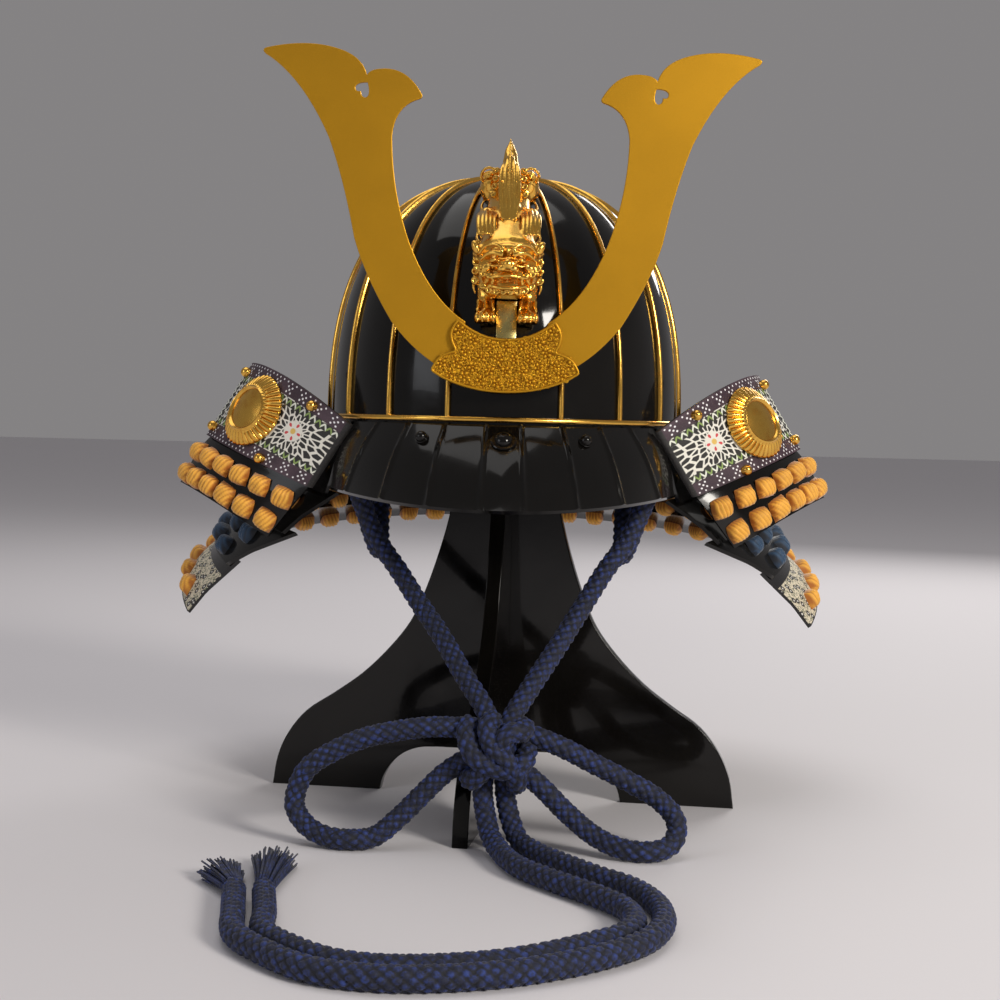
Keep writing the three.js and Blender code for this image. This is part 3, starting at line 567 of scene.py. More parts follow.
def dome_point(angle, rise, off=0.0):
    """A point of the dome: angle round from the front, rise up from its rim, both in degrees."""
    turn, climb = math.radians(angle), math.radians(rise)
    out = math.cos(climb) ** (2 / DOME["fullness"])
    up = math.sin(climb) ** (2 / DOME["fullness"])
    return Vector((
        (DOME["half_width"] + off) * out * math.sin(turn),
        -(DOME["half_depth"] + off) * out * math.cos(turn),
        DOME["rim"] + (DOME["height"] + off) * up))


def cheek_point(u, v):
    """A point of the right turn-back.

    u runs from the fold outwards, and v over the print to 1 and over the laced plate to 2.
    """

    def edge(name, arch):
        near, far = CHEEK[name]
        return Vector(near).lerp(Vector(far), u) + Vector((0, 0, arch * 4 * u * (1 - u)))

    if v < 1:
        upper, lower, share = edge("top", CHEEK["top_arch"]), edge("middle", 0), v
    else:
        upper, lower, share = edge("middle", 0), edge("bottom", CHEEK["lower_arch"]), v - 1
    return upper.lerp(lower, share) + Vector((0.69, -0.66, 0.3)) * (CHEEK["bulge"] * 4 * u * (1 - u))


def cheek_normal(u, v):
    across = cheek_point(u + 0.02, v) - cheek_point(u - 0.02, v)
    down = cheek_point(u, v + 0.02) - cheek_point(u, v - 0.02)
    return down.cross(across).normalized()


def cheek_face(u, v, off):
    """A point that stands off from the turn-back."""
    return cheek_point(u, v) + cheek_normal(u, min(v, 1.9)) * off


def lame_edge(edge, share):
    """A point of an edge: share from the right tip (0) over the back (1) to the left tip (2)."""
    tip_angle, tip_radius, tip_z, back_radius, back_z, swell = LAME_EDGES[edge]
    half = share if share <= 1 else 2 - share
    turn = math.radians(tip_angle + (180 - tip_angle) * half)
    eased = 1 - (1 - half) ** 2.2
    radius = tip_radius + (back_radius - tip_radius) * eased
    radius += swell * math.sin(math.pi * half) * (1 - half)
    if edge == 0:
        across, along = DOME["half_width"] + LAME["foot_gap"], DOME["half_depth"] + LAME["foot_gap"]
        radius = across * along / math.hypot(along * math.sin(turn), across * math.cos(turn))
    side = 1 if share <= 1 else -1
    return Vector((
        side * radius * math.sin(turn), -radius * math.cos(turn), tip_z + (back_z - tip_z) * eased))


def lame_point(lame, share, depth, off=0.0):
    """A point of a lame: share as for its edges, and depth down it; each tucks under the one above."""
    tucked = lame > 1
    tuck = LAME["tuck"] if tucked else 0
    upper, lower = lame_edge(lame - 1, share), lame_edge(lame, share)
    slope = lower - upper
    out = Vector((upper.x, upper.y, 0)).normalized()
    normal = (out * -slope.z + Vector((0, 0, slope.dot(out)))).normalized()
    step = (1 - min(1, depth * 1.6)) * -LAME["step"] if tucked else 0
    return upper.lerp(lower, -tuck + (1 + tuck) * depth) + normal * (off + step)


def mirror_to(bm, side):
    """Turns a bmesh drawn on the right over to the left side."""
    if side < 0:
        bmesh.ops.scale(bm, vec=(-1, 1, 1), verts=bm.verts)
        bmesh.ops.reverse_faces(bm, faces=bm.faces)


# ---- The stage ----

# Name, place, aim, size and power of each lamp, and the colour of its light.
LAMPS = (
    ("key", (1.7, -2.2, 1.3), (0, -0.05, 0.22), 0.7, 60, (1, 0.95, 0.87)),
    ("fill", (-2.3, -1.7, 1.0), (0, 0, 0.2), 1.2, 9, (0.93, 0.95, 1)),
    ("top", (-0.3, 0.2, 2.6), (0, 0, 0.2), 2.0, 16, (1, 0.98, 0.96)),
    ("rim", (0.9, 1.9, 1.2), (0, 0, 0.3), 0.8, 14, (1, 0.97, 0.93)))
CAMERA = {"distance": 1.175, "height": 0.247, "roll": -1.4, "lens": 64.1, "shift": (-0.004, -0.08)}


class KABUTO_OT_stage(bpy.types.Operator):
    """Adds the floor, the soft studio lights and the camera"""

    bl_idname = "kabuto.stage"
    bl_label = "Stage"

    def execute(self, context):
        scene = context.scene
        bm = bmesh.new()
        bmesh.ops.create_grid(bm, x_segments=2, y_segments=2, size=14.0)
        mesh = bpy.data.meshes.new("floor")
        bm.to_mesh(mesh)
        bm.free()
        mesh.materials.append(Finish("pale_floor", (0.74, 0.72, 0.75), 0.7).material)
        floor = bpy.data.objects.new("floor", mesh)
        scene.collection.objects.link(floor)

        world = bpy.data.worlds.new("studio")
        world.use_nodes = True
        background = world.node_tree.nodes["Background"]
        background.inputs["Color"].default_value = (0.86, 0.83, 0.84, 1)
        background.inputs["Strength"].default_value = 0.27
        scene.world = world

        for name, spot, aim, size, power, tint in LAMPS:
            light = bpy.data.lights.new(name, "AREA")
            light.size = size
            light.energy = power
            light.color = tint
            lamp = bpy.data.objects.new(name, light)
            lamp.location = spot
            lamp.rotation_euler = (Vector(aim) - Vector(spot)).to_track_quat("-Z", "Y").to_euler()
            scene.collection.objects.link(lamp)

        lens = bpy.data.cameras.new("camera")
        lens.sensor_width = 36
        lens.lens = CAMERA["lens"]
        lens.shift_x, lens.shift_y = CAMERA["shift"]
        camera = bpy.data.objects.new("camera", lens)
        camera.location = (AXIS.x, AXIS.y - CAMERA["distance"], CAMERA["height"])
        camera.rotation_euler = (math.pi / 2, math.radians(CAMERA["roll"]), 0)
        scene.collection.objects.link(camera)
        scene.camera = camera
        scene.view_settings.view_transform = "Standard"
        scene.view_settings.look = "None"
        return {"FINISHED"}


# ---- The cord ----

LYING_Z = 6.3  # height of the middle of a cord that lies on the floor
STRAP_END = [(94, -52, 222), (92, -46, 240), (90, -44, 253)]
REAR_HALF = [
    (88, -30, 253), (90, -34, 236), (91, -40, 215), (88, -47, 194), (84, -50, 180), (80, -47, 168),
    (78, -38, 162.5), (78, -26, 165), (79, -14, 176), (80, 4, 195), (80, 25, 213), (81, 48, 234),
    (80, 66, 250), (70, 84, 256), (45, 101, 257), (15, 110, 257)]
ROUTES = {
    "strap_left": [
        (-4, -160, 57), (-3, -157, 66), (-6, -150, 78), (-20, -131, 97), (-35, -110, 118),
        (-50, -91, 136), (-63, -76, 153), (-75, -66, 168), (-84, -61, 184), (-91, -58, 202),
        *mirrored(-1, STRAP_END)],
    "strap_right": [
        (2, -160, 57), (4, -156, 66), (9, -148, 76), (20, -134, 92), (34, -115, 111), (50, -94, 134),
        (65, -77, 156), (79, -66, 174), (86, -61, 188), (92, -58, 204), *STRAP_END],
    "bow_left": [
        (-4, -160, 67), (-16, -157, 70), (-36, -156, 70.5), (-56, -154, 67.5), (-77, -152, 62),
        (-92, -151, 55), (-107, -150, 45), (-113, -149, 35), (-115, -150, 22), (-108, -153, 12),
        (-97, -158, 7.2), (-83, -163, 6.6), (-68, -160, 8), (-55, -157, 18), (-42, -155, 31),
        (-29, -155, 44), (-16, -157, 53), (-5, -160, 58)],
    "bow_right": [
        (4, -160, 68), (17, -158, 68), (37, -157, 61), (57, -155, 51), (77, -153, 41), (93, -153, 32),
        (103, -156, 22), (104, -161, 14), (99, -168, 8), (88, -174, 6.3), (72, -171, 7), (57, -163, 12),
        (41, -159, 24), (26, -162, 39), (11, -162, 51), (2, -160, 58)],
    "tail_inner": [
        (-4, -157, 58), (-6, -155, 48), (-7, -155, 34), (-5, -157, 21), (-2, -164, 11), (3, -180, 6.9),
        *[(x, y, LYING_Z) for x, y in (
            (13, -213), (31, -241), (54, -271), (66, -293), (69, -317), (62, -338), (44, -356),
            (18, -377), (-9, -390), (-46, -396), (-70, -389), (-92, -368), (-106, -347), (-110, -314),
            (-116, -272))]],
    "tail_outer": [
        (3, -156, 58), (5, -153, 46), (6, -152, 32), (9, -155, 19), (14, -164, 9),
        *[(x, y, LYING_Z) for x, y in (
            (23, -180), (37, -204), (56, -232), (71, -251), (81, -276), (84, -300), (82, -322),
            (73, -346), (53, -370), (25, -391), (-5, -405), (-46, -411), (-79, -401), (-103, -376),
            (-119, -351), (-125, -316), (-131, -272))]],
    "rear_cord": [*REAR_HALF, *mirrored(-1, reversed(REAR_HALF))],
}
KNOT_TURNS = (
    [(-16, -157, 74), (-17, -165, 68), (-13, -171, 58), (-4, -173, 52), (8, -172, 50), (16, -168, 54),
     (18, -160, 60)],
    [(-2, -160, 77), (-5, -168, 72), (-2, -173, 63), (6, -174, 55), (12, -169, 45), (12, -160, 39)],
    [(16, -158, 72), (15, -167, 71), (7, -173, 70), (0, -172, 60), (-8, -170, 48), (-14, -163, 42),
     (-15, -155, 45)],
)
TASSELS = {
    "tassel_inner": ((-116.0, -271.0), (-119.0, -202.0)),
    "tassel_outer": ((-131.2, -271.0), (-145.0, -229.0)),
}
BRAID = {"stitches_around": 6, "relief": 1.4, "core_inset": 1.25, "sides": 42, "step": 1.0}
STRANDS = {"count": 150, "radius": 0.62, "root_spread": 4.6, "tip_spread": 12.6, "joints": 6}


def stitch_height(along, around):
    """0 in the gaps of the braid and 1 on a stitch, for a place on the cord in millimetres and turns."""
    across = around * BRAID["stitches_around"] * math.pi
    down = along / sizes().stitch * math.pi
    ridge = abs(math.sin(down + across)) * abs(math.sin(down - across))
    return min(1.0, 1.12 * ridge ** 0.62)


def add_braid(bm, points):
    """Braided cord along the points; returns its centre line."""
    line = evenly(curve_points(points), BRAID["step"])
    # The hollow mask feeds the painted shade in the gaps of the braid.
    add_tube(
        bm, line, sizes().cord_diameter / 2 - BRAID["core_inset"], sides=BRAID["sides"],
        hollow=lambda along, turn: 1 - stitch_height(along, turn),
        relief=lambda along, turn: BRAID["relief"] * stitch_height(along, turn))
    return line


def add_tassel(bm, root, tip, seed):
    """The frayed end of a cord: strands that spread from the root and settle on the floor."""
    rng = random.Random(seed)
    start, end = Vector((*root, LYING_Z)), Vector((*tip, 5.0))
    side = (end - start).normalized().cross(Vector((0, 0, 1))).normalized()
    gain = STRANDS["tip_spread"] - STRANDS["root_spread"]
    for _ in range(STRANDS["count"]):
        turn, out = rng.uniform(0, math.tau), math.sqrt(rng.random())
        across, up = math.cos(turn) * out, math.sin(turn) * out
        reach = rng.uniform(0.82, 1.04)
        bend = rng.uniform(-1.5, 1.5)
        line = []
        for joint in range(STRANDS["joints"]):
            share = joint / (STRANDS["joints"] - 1)
            spread = STRANDS["root_spread"] + gain * share ** 1.3
            height = max(1.0, LYING_Z + up * (STRANDS["root_spread"] + 1.6 * share) - 1.2 * share)
            line.append(
                start + (end - start) * (share * reach) + side * (across * spread + bend * share * share)
                + Vector((0, 0, height - LYING_Z + 1.3 * share)))
        # Each strand gets a fixed 0.25 of the mask of painted gap shade, which darkens it a little.
        add_tube(bm, line, STRANDS["radius"], sides=4, hollow=lambda along, turn: 0.25)


class KABUTO_OT_cords(bpy.types.Operator):
    """Adds the chin cord with its bow, its knot and its frayed tails"""

    bl_idname = "kabuto.cords"
    bl_label = "Cord"

    def execute(self, context):
        finish = cord_finish("braided_cord", tuple(colours().cord))
        bm = bmesh.new()
        for turn in KNOT_TURNS:
            add_braid(bm, turn)
        add_egg(bm, (-0.5, -160, 59.5), (13, 9, 12))
        knot = millimetres(bm, "knot_turns", finish, ["knot"], "navy_cord")

        brushes = {}
        for seed, (name, (root, tip)) in enumerate(TASSELS.items()):
            bm = bmesh.new()
            add_tassel(bm, root, tip, seed)
            brushes[name] = millimetres(bm, f"{name}_strands", finish, [name], "navy_cord")

        for name, route in ROUTES.items():
            bm = bmesh.new()
            line = add_braid(bm, route)
            piece = millimetres(bm, f"{name}_braid", finish, [name], "navy_cord")
            path = [point / 1000 + AXIS for point in line]
            tail = name.startswith("tail")
            with_pieces = [brushes[name.replace("tail", "tassel")]] if tail else []
            if name == "bow_left":
                with_pieces.append(knot)
            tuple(path[-1] if name.startswith("strap") else path[0])
            line_length(path)
        return {"FINISHED"}


# ---- The bowl ----

BOWL = {"wall": 2.4, "skirt": 4.6, "swell": 0.9, "columns": 192, "rows": 56, "top": 89.6}
RIB = {"width": 3.4, "narrowing": 0.4, "top": 82.4, "rows": 70}
RIB_SECTION = ((-0.5, 0.35), (-0.46, 1.5), (-0.3, 2.5), (0, 2.95), (0.3, 2.5), (0.46, 1.5), (0.5, 0.35))
BEAD = {"radius": 1.7, "stand_off": 2.4}
CROWN = {"stand_off": 0.4, "petals": 8, "petal_swell": 0.045, "plain_radius": 12}
CROWN_PROFILE = (
    (0.2, 0.0), (22, 0.0), (22, 0.7), (20.6, 2.0), (14.6, 2.6), (13.6, 3.2), (12.6, 5.8),
    (9.0, 7.8), (8.0, 8.0), (5.2, 8.0), (4.4, 7.6), (3.8, 5.8), (0.2, 5.6))


def plate_swell(angle):
    """How far the plate at this angle bulges: 0 at the ribs beside it and 1 halfway."""
    knots = [*RIB_ANGLES, RIB_ANGLES[0] + 360]
    for start, end in zip(knots, knots[1:]):
        if start <= angle <= end:
            share = (angle - start) / (end - start)
            return 4 * share * (1 - share)
    return 0.0


def bowl_point(u, v, off):
    """A point of the bowl: u round from the first rib, v up from the skirt under its rim."""
    angle = RIB_ANGLES[0] + 360 * u
    rise = BOWL["top"] * (1 - (1 - v) ** 1.25)
    if off == 0:
        off = BOWL["swell"] * plate_swell(angle) * math.sin(math.radians(min(90, rise * 1.6 + 20)))
    point = dome_point(angle, rise, off)
    point.z -= BOWL["skirt"] * max(0.0, 1 - v * BOWL["rows"])
    return point


class KABUTO_OT_bowl(bpy.types.Operator):
    """Adds the lacquered bowl, its gilt ribs, the bead at its rim and the crown fitting"""

    bl_idname = "kabuto.bowl"
    bl_label = "Bowl"

    def execute(self, context):
        gilt = gilt_finish("rib_gilt", tuple(colours().gilt))
        bm = bmesh.new()
        for off in (0.0, -BOWL["wall"]):
            add_grid(bm, BOWL["columns"], BOWL["rows"], lambda u, v: bowl_point(u, v, off), closed=True)
        low = [edge for edge in bm.edges if edge.is_boundary and edge.verts[0].co.z < DOME["rim"]]
        bmesh.ops.bridge_loops(bm, edges=low)
        sealed(bm)
        millimetres(bm, "bowl_shell", lacquer_finish("bowl_lacquer"), ["bowl"], "lacquer", smooth=40)

        for number, angle in enumerate(RIB_ANGLES, 1):
            self.add_rib(f"rib_{number:02d}", angle, gilt)
        self.add_bead(gilt)
        self.add_crown(gilt)
        return {"FINISHED"}

    def add_rib(self, node, angle, finish):
        """A gilt strip with a rounded face, narrower towards the crown."""
        bm = bmesh.new()
        turn = math.radians(angle)
        side = Vector((math.cos(turn), math.sin(turn), 0))
        count = len(RIB_SECTION)

        def place(u, v):
            shift, height = RIB_SECTION[round(u * count) % count]
            width = RIB["width"] * (1 - RIB["narrowing"] * v**3)
            return dome_point(angle, RIB["top"] * v, height) + side * (shift * width)

        add_grid(bm, count, RIB["rows"], place, closed=True)
        sealed(bm)
        millimetres(bm, f"{node}_gilt", finish, [node], "gilt", smooth=50)

    def add_bead(self, finish):
        """A gilt ring round the foot of the bowl."""
        bm = bmesh.new()

        def place(u, v):
            turn, section = v * math.tau, u * math.tau
            reach = BEAD["stand_off"] + BEAD["radius"] * math.cos(section)
            return Vector((
                (DOME["half_width"] + reach) * math.sin(turn),
                -(DOME["half_depth"] + reach) * math.cos(turn),
                DOME["rim"] + BEAD["radius"] * math.sin(section)))

        made = add_grid(bm, 12, 144, place, closed=True)
        bmesh.ops.remove_doubles(bm, verts=made, dist=1e-3)
        bmesh.ops.recalc_face_normals(bm, faces=bm.faces)
        millimetres(bm, "rim_bead_gilt", finish, ["rim_bead"], "gilt")

    def add_crown(self, finish):
        """Stepped, petalled rings round the opening at the crown."""
        bm = bmesh.new()
        base = DOME["rim"] + DOME["height"] + CROWN["stand_off"]

        def place(turn, out, up):
            if out > CROWN["plain_radius"]:
                out *= 1 + CROWN["petal_swell"] * abs(math.sin(CROWN["petals"] * turn / 2))
            return Vector((out * math.cos(turn), out * math.sin(turn), base + up))

        add_turned(bm, 96, CROWN_PROFILE, place)
        millimetres(bm, "crown_petals", finish, ["crown_fitting"], "gilt", smooth=40)


# ---- The visor ----

VISOR = {
    "end_angle": 52.0, "wall": 2.2, "front_reach": 168.0, "front_z": 195.0, "end": (108.0, -73.0, 203.0),
    "top_z": 244.0, "bulge": 3, "columns": 260, "rows": 14}
RIDGES = {"angles": (5.0, 17.2, 29.0, 40.5), "fan": 0.08, "height": 1.35, "half_width": 0.42}
LIP = 0.7
VISOR_RIVETS = (("centre", 0, 7.6, 5.2), ("left", -23, 4.1, 3.6), ("right", 23, 4.1, 3.6))


def visor_point(angle, depth, off=0.0):
    """A point of the visor: angle from the front, depth from 0 at its upper to 1 at its lower edge."""
    turn, least = math.radians(angle), math.cos(math.radians(VISOR["end_angle"]))
    share = math.sin(turn) / math.sin(math.radians(VISOR["end_angle"]))
    forward = (math.cos(turn) - least) / (1 - least)
    top = dome_point(angle, 0, 3)
    top.z = VISOR["top_z"]
    end_x, end_y, end_z = VISOR["end"]
    bottom = Vector((
        end_x * share, end_y + (-VISOR["front_reach"] - end_y) * forward,
        VISOR["front_z"] + (end_z - VISOR["front_z"]) * share * share))
    out = Vector((math.sin(turn), -math.cos(turn), 0.9)).normalized()
    return top.lerp(bottom, depth) + out * (off + VISOR["bulge"] * math.sin(math.pi * depth))


class KABUTO_OT_visor(bpy.types.Operator):
    """Adds the ridged visor and its domed rivets"""

    bl_idname = "kabuto.visor"
    bl_label = "Visor"

    def execute(self, context):
        lacquer = lacquer_finish("visor_lacquer")

        def place(u, v, off):
            angle = VISOR["end_angle"] * (2 * u - 1)
            if off == 0:
                fan = 1 + RIDGES["fan"] * v
                ridge = sum(
                    math.exp(-((abs(angle) - line * fan) / RIDGES["half_width"]) ** 2)
                    for line in RIDGES["angles"])
                off = RIDGES["height"] * ridge + LIP * max(0.0, 1 - (1 - v) * VISOR["rows"] / 1.2)
            return visor_point(angle, v, off)

        bm = bmesh.new()
        add_wall(bm, VISOR["columns"], VISOR["rows"], place, VISOR["wall"])
        millimetres(bm, "visor_plate", lacquer, ["visor"], "lacquer", smooth=60)
        for name, angle, radius, dome in VISOR_RIVETS:
            self.add_rivet(name, angle, radius, dome, lacquer)
        return {"FINISHED"}

    def add_rivet(self, name, angle, radius, dome, finish):
        """A domed head on a round flange, square to the visor."""
        centre = visor_point(angle, 0.22)
        across = (visor_point(angle + 4, 0.22) - visor_point(angle - 4, 0.22)).normalized()
        normal = across.cross(visor_point(angle, 0.4) - visor_point(angle, 0.05)).normalized()
        if normal.y > 0:
            normal.negate()
        up = normal.cross(across)
        profile = [(0.05, 0.3), (radius, 0.3), (radius, 0.9), (radius - 0.4, 1.3), (dome + 0.3, 1.4)]
        profile += [
            (max(0.05, dome * math.cos(turn)), 1.4 + 3.8 * math.sin(turn))
            for turn in (math.pi / 2 * step / 8 for step in range(9))]
        bm = bmesh.new()
        add_turned(bm, 32, profile, lambda turn, out, high: (
            centre + across * (out * math.cos(turn)) + up * (out * math.sin(turn)) + normal * high))
        millimetres(bm, f"rivet_{name}", finish, [f"visor_rivet_{name}"], "lacquer", smooth=40)


# ---- The crest ----

HORN = path_2d((85, 447), (
    ((88, 458.5), (104, 462.5)), ((121, 467), (143, 461.9)), ((146.4, 461.2), (145.8, 459.4)),
    ((145.2, 458), (142, 456.4)), ((122, 443), (106.5, 410)), ((97, 385), (90.4, 352)),
    ((84, 330), (67.3, 303)), ((55, 287), (40, 278)), ((24, 284),), ((24, 304),), ((45, 317), (58, 350)),
    ((69, 380), (69.4, 412)), ((68, 429.4), (54, 433.4)), ((51.6, 434.4), (52.6, 436.4)),
    ((62, 453), (78, 450.6)), ((83, 450), (84.8, 447.4))))
HEART = path_2d((84.6, 442.4), (
    ((91, 442.4), (91.6, 439.6)), ((91.6, 436.6), (88.2, 437.4)), ((88.4, 434), (85.6, 433.6)),
    ((82.4, 434.6), (84.5, 442.2))), 6)
HOLDER = mirrored_outline([
    (0, 294.6), (5, 294.8), (10, 295.6), (14.5, 297.1), (19, 299.2), (23.5, 301.9), (28, 305), (30, 303.4),
    (31.5, 301), (32.4, 298.6), (32.8, 296), (32, 291.5), (30, 287), (33, 286.2), (36, 285), (38.6, 283.4),
    (40.5, 281.5), (42.2, 278.6), (43.4, 275), (40.4, 272.6), (37, 270.5), (31.5, 268.2), (26, 266.3),
    (19.5, 264.6), (13, 263.4), (6.5, 262.8), (0, 262.6)])
FLOWERS = (
    (0, 289.6), (9.6, 290.4), (19.2, 293.2), (27.6, 299), (4.8, 282.4), (14.4, 283.4), (23.6, 286.6),
    (0, 275.2), (9.6, 275.6), (19.2, 277.6), (28.6, 279.4), (37.6, 279.2), (4.8, 268.2),
    (14.4, 269.4), (24, 271.8), (32.6, 273.6))
CREST_FRONT = -137.5
HORN_PLATE = {"thickness": 2.0, "edge": 0.45, "behind": 3.4}
HOLDER_PLATE = {"thickness": 2.4, "edge": 0.4, "behind": 0.6}
BRASS = (0.62, 0.52, 0.2)


def upright(turn):
    """A direction in the plane of the crest, turned from straight up."""
    return Vector((math.sin(turn), 0, math.cos(turn)))


class KABUTO_OT_crest(bpy.types.Operator):
    """Adds the two horns, their embossed holder and the strip that carries it"""

    bl_idname = "kabuto.crest"
    bl_label = "Crest"

    def execute(self, context):
        gold = tuple(colours().satin)
        satin = satin_finish("horn_gold", gold)
        for name, side in SIDES:
            self.add_plate(
                [[(x * side, z) for x, z in outline] for outline in (HORN, HEART)], HORN_PLATE,
                f"horn_{name}_gold", satin, f"horn_{name}")
        self.add_plate([HOLDER], HOLDER_PLATE, "holder_plate", self.embossed_finish(gold), "crest_holder")
        self.add_border(satin)
        self.add_flowers(satin)
        self.add_prong()
        return {"FINISHED"}

    def add_plate(self, outlines, plate, name, finish, node):
        flat_plate(
            outlines, plate["thickness"], plate["edge"], CREST_FRONT + plate["behind"], name, finish,
            node, "satin_gold")

    def embossed_finish(self, colour):
        """Satin gold over a ground of fine pricked scrolls."""
        made = Finish("embossed_gold", colour, 0.36, 0.9)
        place = made.place()
        scrolls = made.noise(place, 0.5, 2.0, 0.5)
        line = (scrolls - 0.5).size().ramp(0.09, 0.02)
        pricks = made.cells("F1", place, 0.95)
        relief = line * 0.6 + pricks.ramp(0.7, 0.1) * 0.4
        made.put(Base_Color=made.mix(relief.ramp(0.0, 0.6), tinted(colour, 0.42, 0.32, 0.25), colour))
        made.put(Roughness=relief.ramp(1.0, 0.2) * 0.15 + 0.3)
        made.bump(relief, 0.6, 0.6)
        return made.material

    def add_border(self, finish):
        """The smooth raised edge round the holder."""
        ring = []
        for (x0, z0), (x, z), (x1, z1) in zip([HOLDER[-1], *HOLDER], HOLDER, [*HOLDER[1:], HOLDER[0]]):
            ahead = Vector((x1 - x0, 0, z1 - z0)).normalized()
            inward = Vector((ahead.z, 0, -ahead.x)) * 0.85
            ring.append(Vector((x, CREST_FRONT + 0.7, z)) + inward)
        line = curve_points(ring, 3, closed=True)
        bm = bmesh.new()
        add_tube(bm, [*line, line[0], line[1]], 0.8, sides=10)
        millimetres(bm, "holder_border", finish, slot="satin_gold")

    def add_flowers(self, finish):
        """Low five-petalled flowers with scrolls between them, and a bead in the middle of each."""
        bm = bmesh.new()
        spots = [(x * side, z) for x, z in FLOWERS for side in ((1, -1) if x else (1,))]
        for number, (x, z) in enumerate(spots):
            middle = Vector((x, CREST_FRONT + 0.5, z))
            add_egg(bm, middle, (0.8, 0.9, 0.8), around=8)
            for petal in range(5):
                turn = math.tau * petal / 5 + number
                centre = middle + Vector((0, 0.1, 0)) + upright(turn) * 2.2
                add_egg(bm, centre, (1.15, 1.0, 1.35), turn, around=8)
            for curl in range(3):
                turn = math.tau * curl / 3 + number * 2.4
                start = middle + upright(turn) * 4.4
                if abs(start.x) > 38 or not 265.5 < start.z < 292 + 0.28 * abs(start.x):
                    continue
                add_tube(bm, [
                    start + Vector((math.cos(turn + bend), 0, math.sin(turn + bend))) * (1.6 - 0.24 * bend)
                    for bend in (step * 0.75 for step in range(7))], 0.55, sides=6)
        millimetres(bm, "holder_flowers", finish, slot="satin_gold")

    def add_prong(self):
        """The brass strip, with its sharp edges rounded."""
        bm = from_solid("crest_prong")
        bmesh.ops.join_triangles(
            bm, faces=bm.faces, angle_face_threshold=math.radians(60), angle_shape_threshold=math.pi)
        sharp = [
            edge for edge in bm.edges
            if len(edge.link_faces) == 2 and edge.calc_face_angle(0) > math.radians(35)]
        bmesh.ops.bevel(
            bm, geom=sharp, offset=0.4, offset_type="OFFSET", segments=2, profile=0.5,
            affect="EDGES", material=-1, clamp_overlap=True)
        brass = gilt_finish("prong_brass", BRASS, 0.2, 0.9)
        millimetres(bm, "prong_strip", brass, ["crest_prong"], "pale_brass")


# ---- The lion ----

# On the right of the face: eggs by centre and half sizes, and locks of hair by their points, the
# radius at their root and at their tip, and their number of sides.
FACE_EGGS = (
    ((7.8, -153.6, 338.6), (2.9, 2.4, 2.0)), ((7.8, -155.7, 338.6), (1.1, 0.9, 1.1)),
    ((3.5, -156.2, 344.2), (1.6, 1.6, 1.6)), ((3.6, -159.6, 333.4), (2.5, 2.3, 2.0)),
    ((12.4, -151.6, 334.2), (3.2, 2.6, 2.4)), ((8.2, -155.0, 326.9), (0.9, 0.9, 1.7)))
FACE_LOCKS = (
    (((2.8, -157.0, 341.2), (6.5, -156.8, 342.6), (11.5, -154.2, 342.2), (15.6, -149.6, 338.8)),
     1.7, 1.1, 9),
    (((2.4, -156.6, 345.2), (7, -155.2, 347.6), (12.5, -151.5, 347), (16.8, -146, 342.6)), 1.5, 1.0, 9),
    (((4.2, -156.2, 335.8), (8.2, -155.4, 335.0), (12.6, -152.4, 337)), 0.9, 0.6, 8))
LIPS = (
    ((11.5, -153.2, 328.6), (6, -157.2, 329.0), (0, -158.6, 329.4)),
    ((11, -151.8, 324.4), (5.5, -155.6, 322.8), (0, -156.8, 322.4)))
# Rows of curls round the mouth: where the row starts in front, then place in X and Z, and size.
CHIN_CURLS = (
    (-157.2, ((6.6, 330.2, 1.9), (10.6, 329.6, 2.0), (14.4, 330.6, 2.1), (17.2, 334, 2.1))),
    (-154.4, ((2.2, 320.0, 1.9), (6.4, 320.2, 2.0), (10.6, 321.4, 2.1), (14.2, 323.8, 2.1))))
PAW_X = 12.4
HAUNCH = (12.6, 394)  # X and Z of the spiral on each haunch
HOLLOW_GAIN = 13


def add_lock(bm, points, root, tip, sides=8):
    """A rounded lock along the points, from the radius root to the radius tip."""
    add_tube(bm, curve_points(points), lambda v: root + (tip - root) * v, sides=sides)


def add_curl(bm, centre, size):
    """A small snail curl with its eye."""
    add_egg(bm, centre, (size, size * 0.8, size))
    line = []
    for step in range(10):
        turn = step * math.tau / 8
        reach = size * (0.95 - turn * 0.07)
        line.append(Vector(centre) + Vector((math.cos(turn) * reach, -size * 0.75, math.sin(turn) * reach)))
    add_tube(bm, line, size * 0.3, sides=6)


